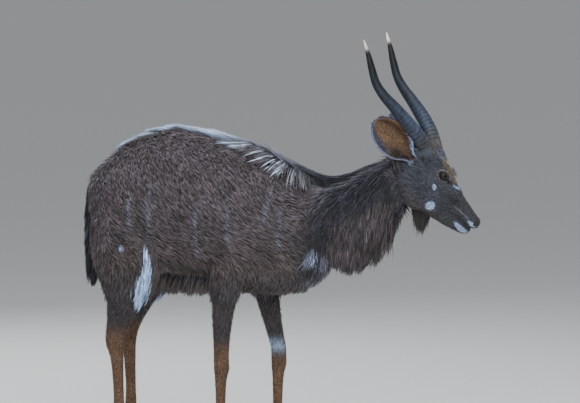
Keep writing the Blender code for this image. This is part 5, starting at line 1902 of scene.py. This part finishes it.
def ear_leaf(side):
    root, length, across, opening = ear_frame(side)
    rows, marks = [], []
    for i in range(EAR_STEPS + 1):
        t = i / EAR_STEPS
        reach = -0.012 + t * (EAR_LENGTH + 0.012)
        half = 0.5 * EAR_WIDTH * float(np.interp(max(0.0, reach) / EAR_LENGTH, *EAR_OUTLINE))
        curl = math.radians(115 - 75 * t**0.7)
        row = []
        for j in range(EAR_SIDES + 1):
            w = 2 * j / EAR_SIDES - 1
            radius = half / math.sin(min(curl, math.pi / 2))
            sideways, depth = radius * math.sin(w * curl), radius * (1 - math.cos(w * curl))
            row.append(root + length * reach + across * sideways + opening * (depth - 0.5 * radius))
            marks.append((t, w))
        rows.append(row)
    return rows, marks, opening


def ear(side):
    rows = ear_leaf(side)[0]
    mesh = bmesh.new()
    verts = [[mesh.verts.new(point) for point in row] for row in rows]
    for low, high in zip(verts, verts[1:]):
        for k in range(EAR_SIDES):
            mesh.faces.new((low[k], low[k + 1], high[k + 1], high[k]))
    return walled(from_bmesh("ear", mesh), 0.0030, 0)


print("rows of an ear:", EAR_STEPS + 1)

# %% Colours of the ears
EAR_TAN = paint(132, 106, 82)
EAR_RED = paint(78, 56, 47)
EAR_BACK = paint(62, 72, 96)
EAR_HOLLOW = paint(46, 38, 38)


def leaf_facing(rows, opening):
    """At each point of a leaf the direction square to it, on the side of the ear's opening."""
    grid = np.array([[point[:] for point in row] for row in rows])
    facing = np.cross(np.gradient(grid, axis=0), np.gradient(grid, axis=1))
    facing *= np.sign((facing @ np.array(opening)).sum())
    flat = facing.reshape(-1, 3) + np.array(opening) * 1e-7
    return unit(flat).reshape(facing.shape)


def cup_colour(t, up):
    """Tan, with a red-brown band by the upper rim, a dark hollow and a blue grey lower edge."""
    colour = np.tile(EAR_TAN, (len(t), 1))
    colour = mix(colour, EAR_RED, 0.9 * (1 - step(0.08, 0.36, t)))
    colour = mix(colour, EAR_RED, 0.85 * np.exp(-(((up - 0.62) / 0.17) ** 2)))
    colour = mix(colour, EAR_HOLLOW, 0.85 * (1 - step(0.30, 0.56, t)) * step(0.02, 0.30, -up))
    return mix(colour, EAR_BACK, 0.85 * step(0.34, 0.62, -up) * step(0.30, 0.52, t))


def ear_colour(obj, side):
    """Tan inside with a red-brown band and hollow, pale at the rims and blue grey outside."""
    rows, marks, opening = ear_leaf(side)
    flat = np.array([point[:] for row in rows for point in row])
    points = places(obj.data)
    nearest = np.array([np.argmin(((flat - point) ** 2).sum(axis=1)) for point in points])
    t, w = np.array(marks)[nearest].T
    away = points - flat[nearest]
    inward = (away * leaf_facing(rows, opening).reshape(-1, 3)[nearest]).sum(axis=1)
    inside = step(-0.0002, 0.0004, inward)
    # w runs from one rim to the other; up is positive at the rim that is higher.
    up = w * np.sign(ear_frame(side)[2].z)
    colour = cup_colour(t, up)
    colour = mix(colour, PALE * 0.9, 0.75 * step(0.88, 0.96, -up))
    colour = mix(colour, SHADED_WHITE, 0.8 * step(0.82, 0.95, up) * (1 - step(0.30, 0.45, t)))
    outside = mix(np.tile(EAR_BACK, (len(points), 1)), SOOT, 0.4 * step(0.6, 1.0, t))
    return mix(outside, 0, inside) + colour * inside[:, None], inside


for side, word in SIDES:
    piece = ear(side)
    colour, inside = ear_colour(piece, side)
    add_colour(piece.data, "coat", colour)
    piece.name = "ear_leaf_" + word
    finished(piece, EAR_SKIN, "ear_coat", "ear_" + word)
    print(piece.name, len(piece.data.polygons), "faces,", round(float(inside.mean()), 2), "inside")

# %% [markdown]
# The back of an ear has short hair, and longer pale hair grows on its rim and in its cup. The tree
# of nodes could grow it, but a leaf's own grid tells rim, cup and back apart more easily.

# %% Hair of the ears


def ear_hair(side, word, count):
    """Short hair on the outside of an ear, longer pale hair from its rim and in its cup."""
    rows, _, opening = ear_leaf(side)
    grid = np.array([[point[:] for point in row] for row in rows])
    _, length, across_axis, _ = ear_frame(side)
    i, j = DRAW.uniform(1, EAR_STEPS - 1, count), DRAW.uniform(0, EAR_SIDES, count)
    low_i, low_j = i.astype(int), np.minimum(j.astype(int), EAR_SIDES - 1)
    here, onward = grid[low_i, low_j], grid[low_i + 1, low_j] - grid[low_i, low_j]
    sideways = grid[low_i, low_j + 1] - here
    place = here + sideways * (j - low_j)[:, None] + onward * (i - low_i)[:, None]
    normal = -leaf_facing(rows, opening)[low_i, low_j]
    middle = grid.mean(axis=1)[low_i]
    t, up = i / EAR_STEPS, (2 * j / EAR_SIDES - 1) * np.sign(across_axis.z)
    rim = np.abs(up) > 0.86
    inside = (DRAW.uniform(0, 1, count) < 0.35) & ~rim
    outs = np.where(inside[:, None], -normal, normal)
    lie = np.tile(np.array(length), (count, 1))
    lie = np.where(rim[:, None], lie * 0.9 + unit(middle - place) * 0.35 + np.array(opening) * 0.3, lie)
    rim_reach = DRAW.uniform(0.006, 0.020, count) + 0.008 * ((up > 0) & (t < 0.4))
    reach = np.where(rim, rim_reach, np.where(inside, 0.013, DRAW.uniform(0.006, 0.012, count)))
    tips = place + unit(lie) * reach[:, None] + outs * 0.003
    pale = mix(np.tile(PALE * 1.05, (count, 1)), SHADED_WHITE * 1.1, 1.0 * ((up > 0) & (t < 0.4)))
    pale = mix(pale, EAR_RED, 0.7 * ((up > 0) & (t > 0.45)))
    cup = cup_colour(t, up)
    back = np.tile(EAR_BACK, (count, 1))
    colour = np.where(rim[:, None], pale, np.where(inside[:, None], cup, back))
    across = unit(np.cross(lie, outs))
    width = np.where(rim, 0.0017, 0.0020) * DRAW.uniform(0.8, 1.3, count)
    # Moved outwards by the depth of its root, no hair comes through the thin leaf.
    roots, tips = place + outs * HAIR_SINK, tips + outs * HAIR_SINK * 0.5
    hair = (roots, outs, tips, across)
    title, colours = "ear_hair_" + word, (colour * 0.85, colour)
    locks(title, "ear_coat", hair, width, 0.002, colours, rows=3, wave=0.001, even=0.7)


for side, word in SIDES:
    ear_hair(side, word, amount(3400))

# %% [markdown]
# ## Eyes and lids
# The eyeball sits deep, half covered by the orbit, and the lids lie on it. Light gives the eye its
# life: a clear coat over a dark brown iris with a wide, level pupil, and a wet rim of dark skin.

# %% Eyes


def eye_axes(side):
    out = HEAD_TURN @ Vector((EYE_OUT.x, side * EYE_OUT.y, EYE_OUT.z))
    forward = HEAD_TURN @ Vector((1, 0, 0))
    forward = (forward - out * forward.dot(out)).normalized()
    upward = out.cross(forward) * -side
    return out, forward, upward if upward.z > 0 else -upward


def eye_centre(side):
    return head_place(EYE_PLACE[0], side * EYE_PLACE[1], EYE_PLACE[2])


def eyeball(side):
    centre = eye_centre(side)
    out, forward, upward = eye_axes(side)
    obj = ellipsoid("eyeball", centre, (EYE_RADIUS - 0.0006,) * 3, None, 64, 48)
    rays = unit(places(obj.data) - np.array(centre))
    a, b, c = rays @ np.array(forward), rays @ np.array(upward), rays @ np.array(out)
    far = np.sqrt(a**2 + b**2) + (c < 0) * 9
    pupil = 1 - step(0.85, 1.05, np.sqrt((a / 0.42) ** 2 + (b / 0.24) ** 2) + (c < 0) * 9)
    colour = np.tile(paint(24, 18, 15), (len(rays), 1))
    colour = mix(colour, paint(34, 25, 19), (1 - step(0.50, 0.68, far)) * 0.9)
    colour = mix(colour, paint(6, 6, 9), pupil)
    add_colour(obj.data, "iris", colour)
    return obj


print("eye at", [round(v, 3) for v in eye_centre(-1)])

# %% Shine of the eye and of bare skin


def eye_material():
    made, tree, shader = new_material("wet eye")
    tree.links.new(attribute(tree, "iris", "Color"), shader.inputs["Base Color"])
    shader.inputs["Roughness"].default_value = 0.30
    shader.inputs["Specular IOR Level"].default_value = 0.15
    shader.inputs["Coat Weight"].default_value = 0.12
    shader.inputs["Coat Roughness"].default_value = 0.15
    return made


def bare_skin_material():
    made, tree, shader = new_material("bare dark skin")
    place = wired(tree, "ShaderNodeTexCoord").outputs["Object"]
    pores = wired(tree, "ShaderNodeTexVoronoi", {"Vector": place, "Scale": 420}).outputs["Distance"]
    shade = ranged(tree, pores, 0.035, 0.014, 0.0, 0.6)
    grey = wired(tree, "ShaderNodeCombineColor", {"Red": shade, "Green": shade, "Blue": shade})
    tree.links.new(grey.outputs["Color"], shader.inputs["Base Color"])
    shader.inputs["Roughness"].default_value = 0.42
    shader.inputs["Specular IOR Level"].default_value = 0.45
    tree.links.new(bump(tree, pores, 0.0003), shader.inputs["Normal"])
    return made


EYE, BARE_SKIN = eye_material(), bare_skin_material()
print("materials:", EYE.name, "and", BARE_SKIN.name)

# %% [markdown]
# The lids are a ring of dark skin that lies on the ball. They could be cut into the head, but a ring
# that follows the ball always meets it without a gap.

# %% Lids and lashes


LID_STEPS, LID_SIDES = 48, 10


def lids(side):
    """A rim of skin that lies on the eyeball round an almond-shaped opening."""
    centre = eye_centre(side)
    out, forward, upward = eye_axes(side)
    mesh = bmesh.new()
    rows = []
    for i in range(LID_STEPS):
        a = 2 * math.pi * i / LID_STEPS
        wide = 1.05 * math.cos(a)
        tall = (0.64 if math.sin(a) > 0 else 0.52) * power(math.sin(a), 1.4)
        ray = (out + forward * (wide + 0.06) + upward * (tall + 0.02)).normalized()
        rim = (forward * math.cos(a) * 0.9 + upward * math.sin(a)).normalized()
        rim = (rim - ray * rim.dot(ray)).normalized()
        thick = 0.0024 if math.sin(a) > 0 else 0.0019
        row = []
        for j in range(LID_SIDES):
            b = 2 * math.pi * j / LID_SIDES
            out_from_ball = EYE_RADIUS + thick * math.sin(b) * 0.8
            row.append(mesh.verts.new(centre + ray * out_from_ball + rim * thick * math.cos(b)))
        rows.append(row)
    for i in range(LID_STEPS):
        for j in range(LID_SIDES):
            mesh.faces.new((rows[i - 1][j - 1], rows[i - 1][j], rows[i][j], rows[i][j - 1]))
    bmesh.ops.recalc_face_normals(mesh, faces=mesh.faces)
    return from_bmesh("lids", mesh)


def lashes(side, word, count):
    """Stiff hair that shades the eye from its upper lid."""
    centre = eye_centre(side)
    out, forward, upward = (np.array(axis) for axis in eye_axes(side))
    a = DRAW.uniform(0.35, math.pi - 0.35, count)[:, None]
    rays = unit(out + forward * (1.05 * np.cos(a) + 0.06) + upward * (0.64 * np.sin(a) ** 1.4 + 0.10))
    roots = np.array(centre) + rays * (EYE_RADIUS + 0.0015)
    droop = upward * DRAW.uniform(-0.006, -0.001, (count, 1))
    tips = roots + rays * 0.010 + forward * np.cos(a) * 0.006 + droop
    across = np.tile(forward, (count, 1))
    width, colours = np.full(count, 0.0009), (SOOT * 0.4, SOOT * 0.4)
    hair = (roots, rays, tips, across)
    locks("lashes_" + word, "face_coat", hair, width, 0.001, colours, rows=3, wave=0.0004)


for side, word in SIDES:
    ball = eyeball(side)
    ball.name = "eyeball_" + word
    finished(ball, EYE, "eye", "eye_" + word)
    rim = lids(side)
    rim.name = "eyelids_" + word
    finished(rim, BARE_SKIN, "face_coat")
    lashes(side, word, 60)
print("eyes and lids made")

# %% [markdown]
# Over and between the nostrils the skin is bare, dark and pebbled. A patch of the skin's own faces
# fits it exactly, so it needs no new form.

# %% The nose pad


def nose_pad():
    """A patch of the skin's own faces over the nose, lifted a little and given a thickness."""
    f, _, u = in_head(centres).T
    chosen = (f > 0.2895) & (u > 0.0425) & on_head
    used, faces = np.unique(SKIN_FACES[chosen], return_inverse=True)
    data = mesh_of("nose_pad", SKIN_POINTS[used] + SKIN_NORMALS[used] * 0.0008, faces.reshape(-1, 3))
    return walled(placed("nose_pad", data), 0.0012, -0.5)


finished(nose_pad(), BARE_SKIN, "face_coat")
print("nose pad made")

# %% [markdown]
# ## Stage, light and camera
# A plain pale floor catches the shadow. One broad light from above acts as the open sky, a second
# from the camera's side models the face and the flank. The camera stands where the photographer did:
# far off, a little ahead of square on the bull's right, with a long lens.

# %% Stage and light
bpy.data.objects.remove(tuft)
floor_mesh = bmesh.new()
bmesh.ops.create_grid(floor_mesh, x_segments=2, y_segments=2, size=150)
floor = from_bmesh("floor", floor_mesh)
pale, _, floor_shader = new_material("pale floor")
floor_shader.inputs["Base Color"].default_value = (0.62, 0.61, 0.59, 1)
floor_shader.inputs["Roughness"].default_value = 0.9
floor.data.materials.append(pale)


def area_light(name, place, aim, size, power_w, colour):
    data = bpy.data.lights.new(name, "AREA")
    data.shape = "DISK"
    data.size = size
    data.energy = power_w
    data.color = colour
    obj = placed(name, data)
    obj.location = place
    obj.rotation_euler = (Vector(aim) - Vector(place)).to_track_quat("-Z", "Y").to_euler()


area_light("sky", (0.2, -0.6, 4.4), (0, 0, 0.8), 4.5, 210, (0.90, 0.95, 1.0))
area_light("key", (1.6, -4.2, 2.6), (0.0, 0, 0.9), 2.2, 150, (1.0, 0.98, 0.95))
area_light("rim", (-2.5, 3.0, 2.8), (0, 0, 0.9), 2.0, 90, (0.95, 0.97, 1.0))
world = bpy.data.worlds.new("pale surroundings")
world.use_nodes = True
world.node_tree.nodes["Background"].inputs["Color"].default_value = (0.80, 0.84, 0.90, 1)
world.node_tree.nodes["Background"].inputs["Strength"].default_value = 0.55
bpy.context.scene.world = world

# %% [markdown]
# A near camera swells whatever is closest to it. From far off, through a long lens, the bull keeps
# its proportions.

# %% Camera
CAMERA_AZIMUTH, CAMERA_ELEVATION, CAMERA_DISTANCE = math.radians(18), math.radians(4.5), 12.0
aim = Vector((0.262, 0.085, 0.912)) + SHIFT
away = Vector(
    (
        math.sin(CAMERA_AZIMUTH) * math.cos(CAMERA_ELEVATION),
        -math.cos(CAMERA_AZIMUTH) * math.cos(CAMERA_ELEVATION),
        math.sin(CAMERA_ELEVATION),
    )
)
camera = placed("camera", bpy.data.cameras.new("camera"))
camera.data.lens = 216
camera.data.sensor_width = 36
camera.data.clip_end = 400
camera.location = aim + away * CAMERA_DISTANCE
camera.rotation_euler = (-away).to_track_quat("-Z", "Y").to_euler()
bpy.context.scene.camera = camera
print("camera at", [round(v, 2) for v in camera.location])
